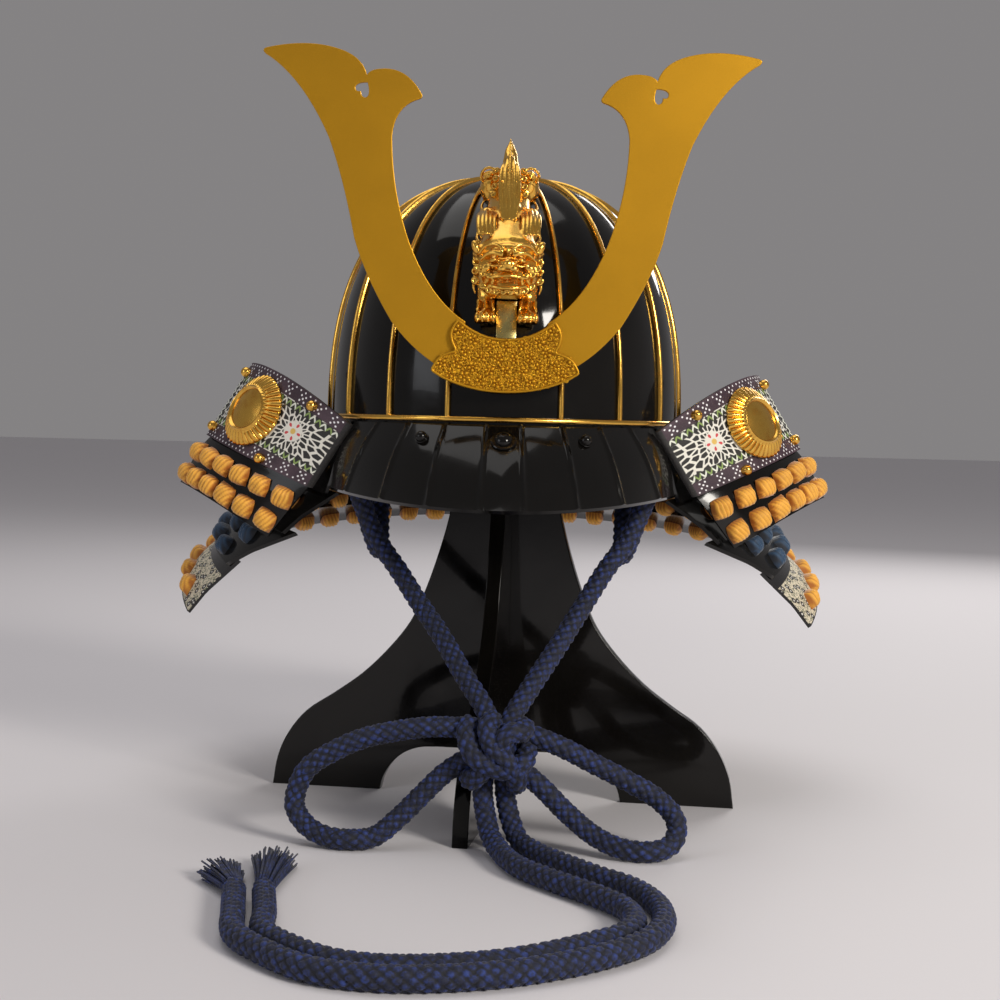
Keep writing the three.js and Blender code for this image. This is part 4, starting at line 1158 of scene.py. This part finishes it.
class KABUTO_OT_lion(bpy.types.Operator):
    """Adds the gilt lion that stands over the crest"""

    bl_idname = "kabuto.lion"
    bl_label = "Lion"

    def execute(self, context):
        bm = self.fused(from_solid("lion"), 1.1, 10)
        for side in (-1, 1):
            self.add_face_side(bm, side)
            self.add_coat_side(bm, side)
            self.add_paw(bm, side)
        self.add_muzzle(bm)
        self.add_tail_hair(bm)
        bm = self.fused(bm, 0.6, 1)
        self.mark_hollows(bm)
        finish = painted_hollow_shade_gilt_finish("lion_gilt_hollow_shade", tuple(colours().gilt))
        millimetres(bm, "lion_carving", finish, ["lion"], "gilt")
        return {"FINISHED"}

    def fused(self, bm, voxel, smoothing):
        """One skin over everything in the bmesh."""
        mesh = bpy.data.meshes.new("fused")
        bm.to_mesh(mesh)
        holder = bpy.data.objects.new("fused", mesh)
        bpy.context.scene.collection.objects.link(holder)
        remesh = holder.modifiers.new("Skin", "REMESH")
        remesh.mode = "VOXEL"
        remesh.voxel_size = voxel
        soften = holder.modifiers.new("Soften", "SMOOTH")
        soften.factor = 0.5
        soften.iterations = smoothing
        bpy.context.view_layer.update()
        made = bpy.data.meshes.new_from_object(
            holder.evaluated_get(bpy.context.evaluated_depsgraph_get()))
        bpy.data.objects.remove(holder)
        bm.clear()
        bm.from_mesh(made)
        return bm

    def mark_hollows(self, bm):
        """Fills the attribute hollow from how far each point lies behind its neighbours; the gilt paints
        shade by it.
        """
        layer = bm.verts.layers.float.new("hollow")
        bm.normal_update()
        values = {}
        for vert in bm.verts:
            near = [edge.other_vert(vert).co for edge in vert.link_edges]
            middle = sum(near, Vector()) / len(near)
            values[vert] = (middle - vert.co).dot(vert.normal) * HOLLOW_GAIN
        for _ in range(3):
            values = {
                vert: (own + sum(values[edge.other_vert(vert)] for edge in vert.link_edges))
                / (1 + len(vert.link_edges)) for vert, own in values.items()}
        for vert, value in values.items():
            vert[layer] = max(0.0, min(1.0, value))

    def add_face_side(self, bm, side):
        """Eye, brow, nostril, cheek, fang, ear and the curls beside them."""
        for (x, y, z), half_sizes in FACE_EGGS:
            add_egg(bm, (side * x, y, z), half_sizes)
        for points, root, tip, sides in FACE_LOCKS:
            add_lock(bm, mirrored(side, points), root, tip, sides)
        add_egg(bm, (side * 18.6, -143.6, 346.4), (2.5, 3.0, 4.8), math.radians(side * 24))
        for front, row in CHIN_CURLS:
            for x, z, size in row:
                add_curl(bm, (side * x, front + x * 0.42, z), size)
        for step in range(5):
            add_curl(bm, (side * (18.8 - step * 0.1), -146 + step * 3.6, 327 + step * 5.6), 2.4)

    def add_muzzle(self, bm):
        """Nose, bead on the brow and the two lips."""
        add_egg(bm, (0, -160.2, 335.8), (3.0, 2.5, 3.2))
        add_egg(bm, (0, -156.4, 344), (1.2, 1.4, 1.9))
        for corner, beside, middle in LIPS:
            left = mirrored(-1, (corner, beside))
            add_lock(bm, [*left, middle, beside, corner], 1.15, 1.15)

    def add_coat_side(self, bm, side):
        """The ruff, the hair of the leg and the back, and the spiral on the haunch."""
        for index in range(5):
            x, off = 8.2 + index * 2.35, abs(index - 2)
            low = 2 - off
            add_tube(bm, curve_points(mirrored(side, (
                (x, -119.5 - index * 0.3, 371.5 - off * 1.2), (x + 0.3, -129.5 - low * 1.7, 364),
                (x - 0.2, -137.4 - low * 1.2, 354.6)))),
                lambda v: 1.5 * math.sin(math.pi * (0.14 + 0.76 * v)) ** 0.5, sides=8)
        self.add_spiral(bm, side)
        for z, y in ((341, -134), (333, -135.4), (325, -135)):
            add_lock(bm, mirrored(side, (
                (18.4, y + 5, z + 5), (19.8, y + 2, z), (18.6, y + 3.5, z - 4.6))), 1.3, 0.52, 7)
        for index in range(3):
            add_lock(bm, mirrored(side, (
                (17.2 - index, -114 + index * 8, 352 + index * 10),
                (18.8 - index, -108 + index * 8, 356 + index * 10),
                (17.2 - index, -101 + index * 8, 366 + index * 8))), 1.7, 0.595, 7)
        for step in range(4):
            add_curl(bm, (side * (9.4 - step * 0.5), -113 + step * 4.6, 381 + step * 5.4), 2.2)

    def add_spiral(self, bm, side):
        """Two turns and a bead on the haunch."""
        x, z = HAUNCH
        for size in (5.4, 2.6):
            ring = []
            for step in range(13):
                turn = step * math.tau / 12
                reach = size * (1 - 0.03 * turn)
                ring.append(Vector((
                    side * x + math.cos(turn) * reach, -97.5 - 0.55 * math.sin(turn) * size,
                    z + math.sin(turn) * reach)))
            add_tube(bm, ring, 0.95, sides=8)
        add_egg(bm, (side * x, -98.5, z), (1.5, 1.5, 1.5))

    def add_tail_hair(self, bm):
        """Long strands up the tail, and a row of curls at its root."""
        for index in range(5):
            x, off = (index - 2) * 2.5, abs(index - 2)
            add_tube(bm, curve_points([
                (x * 0.72, -127.4, 365), (x * 1.08, -121.9, 379), (x, -112.4, 397),
                (x * 0.4, -99.4, 417 - off * 6.5)]), lambda v: 1.3 * (1 - 0.55 * v**2), sides=8)
            add_curl(bm, ((index - 2) * 3.6, -131.4 + off * 0.8, 357.6 - off * 0.8), 2.1)

    def add_paw(self, bm, side):
        """A round foot with four toes and their claws, and the cuff of hair over it."""
        add_egg(bm, (side * PAW_X, -135.5, 307.4), (6.4, 6.4, 4.6))
        for toe in range(4):
            x, back = PAW_X + (toe - 1.5) * 3.1, 1.3 * abs(toe - 1.5)
            add_egg(bm, (side * x, -141.4 + back, 306.4), (1.75, 2.8, 3.3))
            add_egg(bm, (side * x, -144.0 + back, 304.2), (0.7, 1.1, 0.9))
        for tuft in (-1, 0, 1):
            x = PAW_X + tuft * 4.2
            add_lock(bm, mirrored(side, (
                (x, -134.4, 316.5), (x, -136.8, 313.4), (x + tuft, -138.4, 310.6))), 1.5, 0.6, 7)


# ---- The turn-backs ----

BOSS = {"u": 0.61, "v": 0.5, "flutes": 38, "plain_radius": 16.2, "foot": 0.7, "flute_depth": 1.25}
BOSS_PROFILE = (
    (0.4, 8.2), (4, 8.1), (8, 7.7), (11.5, 6.9), (13.2, 6.6), (13.8, 7.6), (14.7, 8.2), (15.6, 7.6),
    (16.3, 6.6), (17.4, 6.3), (19.4, 5.4), (21.4, 4.3), (23.4, 3.0), (24.6, 1.9), (24.2, 0.6),
    (15, 0.6), (0.4, 0.6))
# Millimetres on the printed leather: its size, the flower's middle, the step of its leaves, of its
# groups of five dots and of its single dots.
PRINT = {"width": 112.0, "height": 54.0, "flower": (27.0, 26.0), "leaf": 4.2, "dots": 13.0, "dot": 4.33}
BLACK_PRINT, CREAM_PRINT = (0.012, 0.011, 0.01), (0.8, 0.78, 0.7)


class KABUTO_OT_turnbacks(bpy.types.Operator):
    """Adds the two turn-backs with their printed leather, bosses and rivets"""

    bl_idname = "kabuto.turnbacks"
    bl_label = "Turn-backs"

    def execute(self, context):
        leather = self.leather_finish()
        lacquer = lacquer_finish("cheek_lacquer")
        gilt = gilt_finish("boss_gilt", tuple(colours().gilt))
        for name, side in SIDES:
            self.add_print(name, side, leather)
            self.add_laced_plate(name, side, lacquer)
            self.add_boss(name, side, gilt)
            self.add_rivets(name, side, gilt)
        return {"FINISHED"}

    def add_print(self, name, side, finish):
        """The printed plate, with its near edge rolled back."""
        roll, radius = CHEEK["roll_share"], CHEEK["roll"]

        def place(u, v, off):
            down = v * 0.985
            if u >= roll:
                return cheek_face((u - roll) / (1 - roll), down, off)
            turn = math.radians(CHEEK["roll_turn"]) * (1 - u / roll)
            normal = cheek_normal(0, down)
            across = (cheek_point(0.05, down) - cheek_point(0, down)).normalized()
            return cheek_point(0, down) + normal * ((radius + off) * math.cos(turn) - radius) \
                - across * ((radius + off) * math.sin(turn))

        bm = bmesh.new()
        add_wall(bm, 66, 28, place, CHEEK["wall"])
        mirror_to(bm, side)
        millimetres(bm, f"cheek_print_{name}", finish, [f"turnback_{name}"], "printed_leather", smooth=50)

    def add_laced_plate(self, name, side, finish):
        """The lower plate, which starts behind the printed one."""
        behind = CHEEK["wall"] + 1.2

        def place(u, v, off):
            return cheek_face(u, 0.93 + 1.07 * v, off - behind * (1 - min(1, v * 3)))

        bm = bmesh.new()
        add_wall(bm, 40, 24, place, CHEEK["wall"])
        mirror_to(bm, side)
        millimetres(bm, f"cheek_plate_{name}", finish, [f"turnback_lower_{name}"], "lacquer", smooth=50)

    def add_boss(self, name, side, finish):
        """A ring of flutes round a plain domed middle with a raised rim."""
        u, v = BOSS["u"], BOSS["v"]
        u_step = 0.02 / (cheek_point(u + 0.01, v) - cheek_point(u - 0.01, v)).length
        v_step = 0.02 / (cheek_point(u, v + 0.01) - cheek_point(u, v - 0.01)).length

        def place(turn, out, up):
            if out > BOSS["plain_radius"] and up > BOSS["foot"]:
                wave = abs(math.sin(turn * BOSS["flutes"] / 2)) ** 0.6
                up += BOSS["flute_depth"] * (wave - 0.8)
                out *= 0.975 + 0.025 * wave
            return cheek_face(
                u + out * u_step * math.cos(turn), v + out * v_step * math.sin(turn), up + 0.2)

        bm = bmesh.new()
        add_turned(bm, BOSS["flutes"] * 8, BOSS_PROFILE, place)
        mirror_to(bm, side)
        millimetres(bm, f"boss_{name}_flutes", finish, [f"boss_{name}"], "gilt", smooth=60)

    def add_rivets(self, name, side, finish):
        bm = bmesh.new()
        for u, v in CHEEK_RIVETS:
            add_egg(bm, cheek_face(u, v, 1.5), (3.4, 3.4, 3.4), around=24)
            add_egg(bm, cheek_face(u, v, 0.0), (3.9, 3.9, 3.0), around=20)
        mirror_to(bm, side)
        millimetres(bm, f"cheek_rivets_{name}", finish, slot="gilt")

    def leather_finish(self):
        """Leather printed with a white web round a red flower, a leafy edge and dotted dark bands."""
        made = Finish("printed_leather", CREAM_PRINT, 0.55)
        u, v, _ = made.split(made.make("ShaderNodeUVMap", {"uv_map": "UVMap"}))
        across, down = (u - CHEEK["roll_share"]) * PRINT["width"], v * PRINT["height"]
        edge = down.least(PRINT["height"] - down)

        def zigzag(line, depth):
            """Distance from a zigzag along the line, at a depth."""
            wave = (((line / PRINT["leaf"]) % 1.0) - 0.5).size() * 2
            return (depth - wave * 3.2).size()

        def square(x, y):
            return x * x + y * y

        dx, dy = across - PRINT["flower"][0], down - PRINT["flower"][1]
        radius = square(dx, dy) ** 0.5
        squeeze = 1.2 / (radius + 1.0) ** 0.5
        outer = across.ramp(77.0, 77.2)
        web = made.cells("DISTANCE_TO_EDGE", made.vector(
            dx * squeeze * (1.0 - outer) + across * 0.3 * outer,
            dy * squeeze * (1.0 - outer) + down * 0.26 * outer), 1.0, "2D", 0.9)
        thread = web.ramp(0.175, 0.115)
        tone = made.mix(thread, BLACK_PRINT, CREAM_PRINT)

        spoke = made.math("ARCTAN2", dy, dx) * (5 / math.tau)
        petal = square(((spoke % 1.0) - 0.5) * 6.2, (radius - 4.6) / 1.5).ramp(1.1, 0.7)
        tone = made.mix(radius.ramp(7.5, 6.2), tone, CREAM_PRINT)
        tone = made.mix(petal, tone, (0.62, 0.06, 0.07))
        tone = made.mix(radius.ramp(2.2, 1.6), tone, (0.75, 0.5, 0.12))

        leaf_place = edge - 10.2
        leaf_band = leaf_place.ramp(-0.4, 0.1) * leaf_place.ramp(4.6, 4.1)
        tone = made.mix(leaf_band, tone, BLACK_PRINT)
        leaf = zigzag(across, leaf_place).ramp(1.25, 0.8)
        tone = made.mix(leaf * leaf_band, tone, made.mix(
            ((across / (2 * PRINT["leaf"])) % 1.0).ramp(0.49, 0.51), (0.78, 0.8, 0.7), (0.25, 0.36, 0.1)))

        end_place = 110.0 - across
        end_band = end_place.ramp(8.2, 7.6)
        tone = made.mix(end_band, tone, BLACK_PRINT)
        end_leaf = zigzag(down, end_place - 2.5).ramp(1.3, 0.8)
        tone = made.mix(end_leaf * end_band, tone, (0.76, 0.78, 0.68))

        band = edge.ramp(9.6, 9.2)
        tone = made.mix(band, tone, made.mix(
            made.noise(made.place(), 0.05).ramp(0.35, 0.7), (0.036, 0.017, 0.028), (0.068, 0.038, 0.054)))
        column = (across % PRINT["dots"]) - PRINT["dots"] / 2
        dots = square((across % PRINT["dot"]) - PRINT["dot"] / 2, edge - 1.6).ramp(0.5, 0.25)
        for x, y in ((0, 0), (1.9, 1.7), (-1.9, 1.7), (1.9, -1.7), (-1.9, -1.7)):
            dots = dots.most(square(column - x, edge - (5.6 + y)).ramp(0.62, 0.3))
        tone = made.mix(dots * band, tone, (0.85, 0.84, 0.86))
        plain = across.ramp(0.8, 0.2).most(made.attribute("hollow").ramp(0.1, 0.4))
        tone = made.mix(plain, tone, (0.01, 0.009, 0.009))

        grain = made.noise(made.place(), 1.1, 4.0, 0.6)
        made.put(Base_Color=made.mix(grain.ramp(0.45, 0.8) * 0.12, tone, (0.35, 0.3, 0.25)))
        made.put(Roughness=grain.ramp(0.2, 0.8) * 0.2 + 0.42)
        made.bump(grain * 0.5 + thread * 0.6, 0.16, 0.6)
        return made.material


# ---- The neck guard and its lacing ----

HEM = {"length": 640.0, "height": 42.0}


class KABUTO_OT_neck_guard(bpy.types.Operator):
    """Adds the lacquered lames of the neck guard"""

    bl_idname = "kabuto.neck_guard"
    bl_label = "Neck guard"

    def execute(self, context):
        lacquer = lacquer_finish("lame_lacquer")
        hem = self.hem_finish()
        for lame in (1, 2, 3, 4):
            bm = bmesh.new()
            add_wall(bm, 120, 12, lambda u, v, off: lame_point(lame, 2 * u, v, off), LAME["wall"])
            finish = hem if lame == 4 else lacquer
            millimetres(bm, f"lame_{lame}_plate", finish, [f"lame_{lame}"], "lacquer", smooth=50)
        return {"FINISHED"}

    def hem_finish(self):
        """The last lame: lacquer above, and below it cream leather printed with dark sprigs."""
        made = Finish("hem_leather", (0.7, 0.62, 0.48), 0.5)
        u, v, _ = made.split(made.make("ShaderNodeUVMap", {"uv_map": "UVMap"}))
        flat = made.vector(u * HEM["length"], v * HEM["height"])
        sprig = made.cells("F1", flat, 0.16, "2D")
        vine = made.noise(flat, 0.3, 3.0, 0.6)
        tone = made.mix((vine - 0.5).size().ramp(0.035, 0.015), (0.74, 0.66, 0.5), (0.06, 0.09, 0.045))
        tone = made.mix(sprig.ramp(0.34, 0.26), tone, (0.02, 0.018, 0.02))
        tone = made.mix(sprig.ramp(0.13, 0.08), tone, (0.85, 0.83, 0.76))
        hem = v.ramp(0.3, 0.31) * v.ramp(0.985, 0.98) * made.attribute("hollow").ramp(0.3, 0.1)
        made.put(Base_Color=made.mix(hem, (0.008, 0.007, 0.007), tone))
        made.put(Roughness=hem * 0.4 + 0.12)
        made.bump(made.noise(made.place(), 1.1, 3.0), 0.12, 0.5)
        return made.material


# Each row of knots on the lames: lame, name, depth down the lame and number of knots.
LAME_ROWS = ((2, "_upper", 0.42, 20), (2, "_lower", 0.82, 20), (3, "_upper", 0.42, 22),
             (3, "_lower", 0.82, 22), (4, "", 0.8, 25))
INNER_ROWS = {"lames": ((3, 26), (4, 30)), "depth": 0.8, "off": -2.8}
KNOT = {"height": 6.7, "sunk": 0.6, "stand_off": 0.4}


def lame_frame(lame, share, depth):
    """A point of a lame, with the directions along it and outwards."""
    point = lame_point(lame, share, depth)
    along = lame_point(lame, share + 0.01, depth) - lame_point(lame, share - 0.01, depth)
    down = lame_point(lame, share, 1.0) - lame_point(lame, share, 0.6)
    normal = along.cross(down).normalized()
    if normal.dot(Vector((point.x, point.y, 0))) < 0:
        normal.negate()
    return point, along, normal


class KABUTO_OT_lacing(bpy.types.Operator):
    """Adds the silk knots over the lames and the turn-backs"""

    bl_idname = "kabuto.lacing"
    bl_label = "Lacing"

    def execute(self, context):
        # The last colour of each silk is its painted shade between the threads.
        orange = silk_finish("orange_silk", tuple(colours().silk), (0.42, 0.13, 0.008))
        navy = silk_finish("navy_silk", (0.018, 0.06, 0.13), (0.003, 0.006, 0.014))
        for name, side in SIDES:
            for row, v in (("upper", 1.32), ("lower", 1.78)):
                self.add_cheek_row(f"{name}_{row}", side, v, orange)
        for lame, row, depth, count in LAME_ROWS:
            bm = bmesh.new()
            for knot in range(count):
                point, along, normal = lame_frame(lame, 0.03 + 1.94 * (knot + 0.5) / count, depth)
                self.add_knot(bm, point + normal * KNOT["stand_off"], along, normal, knot)
            bmesh.ops.recalc_face_normals(bm, faces=bm.faces)
            finish, slot = (navy, "navy_silk") if lame == 3 else (orange, "orange_silk")
            millimetres(bm, f"silk_lame_{lame}{row}", finish, [f"lacing_lame_{lame}{row}"], slot)
        self.add_inner_rows(orange)
        return {"FINISHED"}

    def add_cheek_row(self, name, side, v, finish):
        """Six knots across the lower plate of a turn-back."""
        bm = bmesh.new()
        for knot in range(6):
            u = 0.075 + 0.85 * knot / 5
            along = cheek_point(u + 0.02, v) - cheek_point(u - 0.02, v)
            place = cheek_face(u, v, KNOT["stand_off"])
            self.add_knot(bm, place, along, cheek_normal(u, min(v, 1.9)), knot)
        mirror_to(bm, side)
        bmesh.ops.recalc_face_normals(bm, faces=bm.faces)
        millimetres(bm, f"silk_{name}", finish, [f"lacing_{name}"], "orange_silk")

    def add_inner_rows(self, finish):
        """The ends of the lacing that show inside the neck guard, along the foot of the lames."""
        bm = bmesh.new()
        for lame, count in INNER_ROWS["lames"]:
            for knot in range(count):
                share = 0.1 + 1.8 * (knot + 0.5) / count
                _, along, normal = lame_frame(lame, share, INNER_ROWS["depth"])
                place = lame_point(lame, share, INNER_ROWS["depth"], INNER_ROWS["off"])
                self.add_knot(bm, place, -along, -normal, knot)
        bmesh.ops.recalc_face_normals(bm, faces=bm.faces)
        millimetres(bm, "silk_inside", finish, slot="orange_silk")

    def add_knot(self, bm, place, along, normal, number):
        """One knot: threads gathered over a cushion with four drawn-out corners."""
        rng = random.Random(number * 7 + round(place.x * 3))
        askew = normal.cross(along).normalized() * rng.uniform(-0.14, 0.14)
        along = (along.normalized() + askew).normalized()
        up = normal.cross(along).normalized()
        half = sizes().silk_width / 2 * rng.uniform(0.97, 1.05)
        lean, curl = rng.uniform(0.15, 0.5), rng.uniform(-0.1, 0.35)
        pulls = [rng.uniform(0.0, 0.13) for _ in range(4)]

        def phase(a, b):
            return (a * 0.9 + b * lean + curl * b * b * a) * math.pi * 5.5

        def spot(u, v):
            a, b = 2 * u - 1, 2 * v - 1
            pull = pulls[(a > 0) * 2 + (b > 0)] * (a * b) ** 4
            x = a * half * (1.0 - 0.15 * b * b + pull)
            y = b * half * (0.97 - 0.15 * a * a + pull)
            high = KNOT["height"] * (max(0.0, 1 - abs(a) ** 3) * max(0.0, 1 - abs(b) ** 3)) ** 0.5
            high += (0.65 * math.sin(phase(a, b)) + 0.4 * math.sin(2.3 * b + 5 * a * lean)) \
                * (1 - b**4) * (1 - a**4)
            return place + along * x + up * y + normal * (high - KNOT["sunk"])

        # hollow is the mask of the painted shade: high in the grooves between the threads and at the rim of
        # the knot.
        def hollow(u, v):
            a, b = 2 * u - 1, 2 * v - 1
            return 0.3 - 0.3 * math.sin(phase(a, b)) + 0.6 * max(abs(a), abs(b)) ** 5

        add_grid(bm, 24, 10, spot, hollow)


# ---- The stand ----

BOARD = {"thickness": 9.5, "edge": 0.7, "top": 399.5, "slot": 5.15, "lap": 205.0, "play": 0.4, "shift": 3.0}
BOARD_TIP = [(12, 399.5), (22, 397), (29, 393.5), (33, 383.5)]
BOARD_SIDE = [
    (33, 225), (36, 190), (44, 158), (54, 129), (62, 112), (75, 95), (93, 77), (112, 63), (131, 50),
    (143, 35), (150, 19), (153, 0)]
BOARD_ARCH = [(80, 0), (78, 8), (72, 18), (64, 25), (54, 29), (42, 30)]


class KABUTO_OT_stand(bpy.types.Operator):
    """Adds the two crossed boards of the stand"""

    bl_idname = "kabuto.stand"
    bl_label = "Stand"

    def execute(self, context):
        lacquer = lacquer_finish("board_lacquer", warmth=0.002)
        outer = [*BOARD_TIP, *self.curved(BOARD_SIDE, 4), *self.curved(BOARD_ARCH, 3)]
        slot, top, lap, play = (BOARD[key] for key in ("slot", "top", "lap", "play"))
        wide = [(slot, lap - play), (slot, top), *outer]
        deep = [(0, top), *outer, (slot, BOARD_ARCH[-1][1]), (slot, lap + play)]
        for name, half, turn in (("wide", wide, -8.5), ("deep", deep, 81.5)):
            flat_plate(
                [mirrored_outline(half)], BOARD["thickness"], BOARD["edge"], -BOARD["thickness"] / 2,
                f"board_{name}", lacquer, f"stand_board_{name}", "stand_lacquer", turn, BOARD["shift"])
        return {"FINISHED"}

    def curved(self, outline, per_span):
        line = curve_points([(x, 0, z) for x, z in outline], per_span)
        return [(point.x, point.z) for point in line]


# ---- The panel ----

OPERATORS = (
    KABUTO_OT_stage, KABUTO_OT_cords, KABUTO_OT_bowl, KABUTO_OT_visor, KABUTO_OT_crest, KABUTO_OT_lion,
    KABUTO_OT_turnbacks, KABUTO_OT_neck_guard, KABUTO_OT_lacing, KABUTO_OT_stand)


class KABUTO_PT_panel(bpy.types.Panel):
    """Lists the sizes, the colours and the pieces of the helmet"""

    bl_idname = "KABUTO_PT_panel"
    bl_label = "Kabuto"
    bl_space_type = "VIEW_3D"
    bl_region_type = "UI"
    bl_category = "Kabuto"

    def draw(self, context):
        layout = self.layout
        for group in (context.scene.kabuto_sizes, context.scene.kabuto_colours):
            for name in group.__annotations__:
                layout.prop(group, name)
        for operator in OPERATORS:
            layout.operator(operator.bl_idname)


CLASSES = (KabutoSizes, KabutoColours, *OPERATORS, KABUTO_PT_panel)


def register():
    for cls in CLASSES:
        bpy.utils.register_class(cls)
    bpy.types.Scene.kabuto_sizes = bpy.props.PointerProperty(type=KabutoSizes)
    bpy.types.Scene.kabuto_colours = bpy.props.PointerProperty(type=KabutoColours)


def unregister():
    del bpy.types.Scene.kabuto_colours
    del bpy.types.Scene.kabuto_sizes
    for cls in reversed(CLASSES):
        bpy.utils.unregister_class(cls)


def main():
    register()
    for operator in OPERATORS:
        group, name = operator.bl_idname.split(".")
        getattr(getattr(bpy.ops, group), name)()


if __name__ == "__main__":
    main()
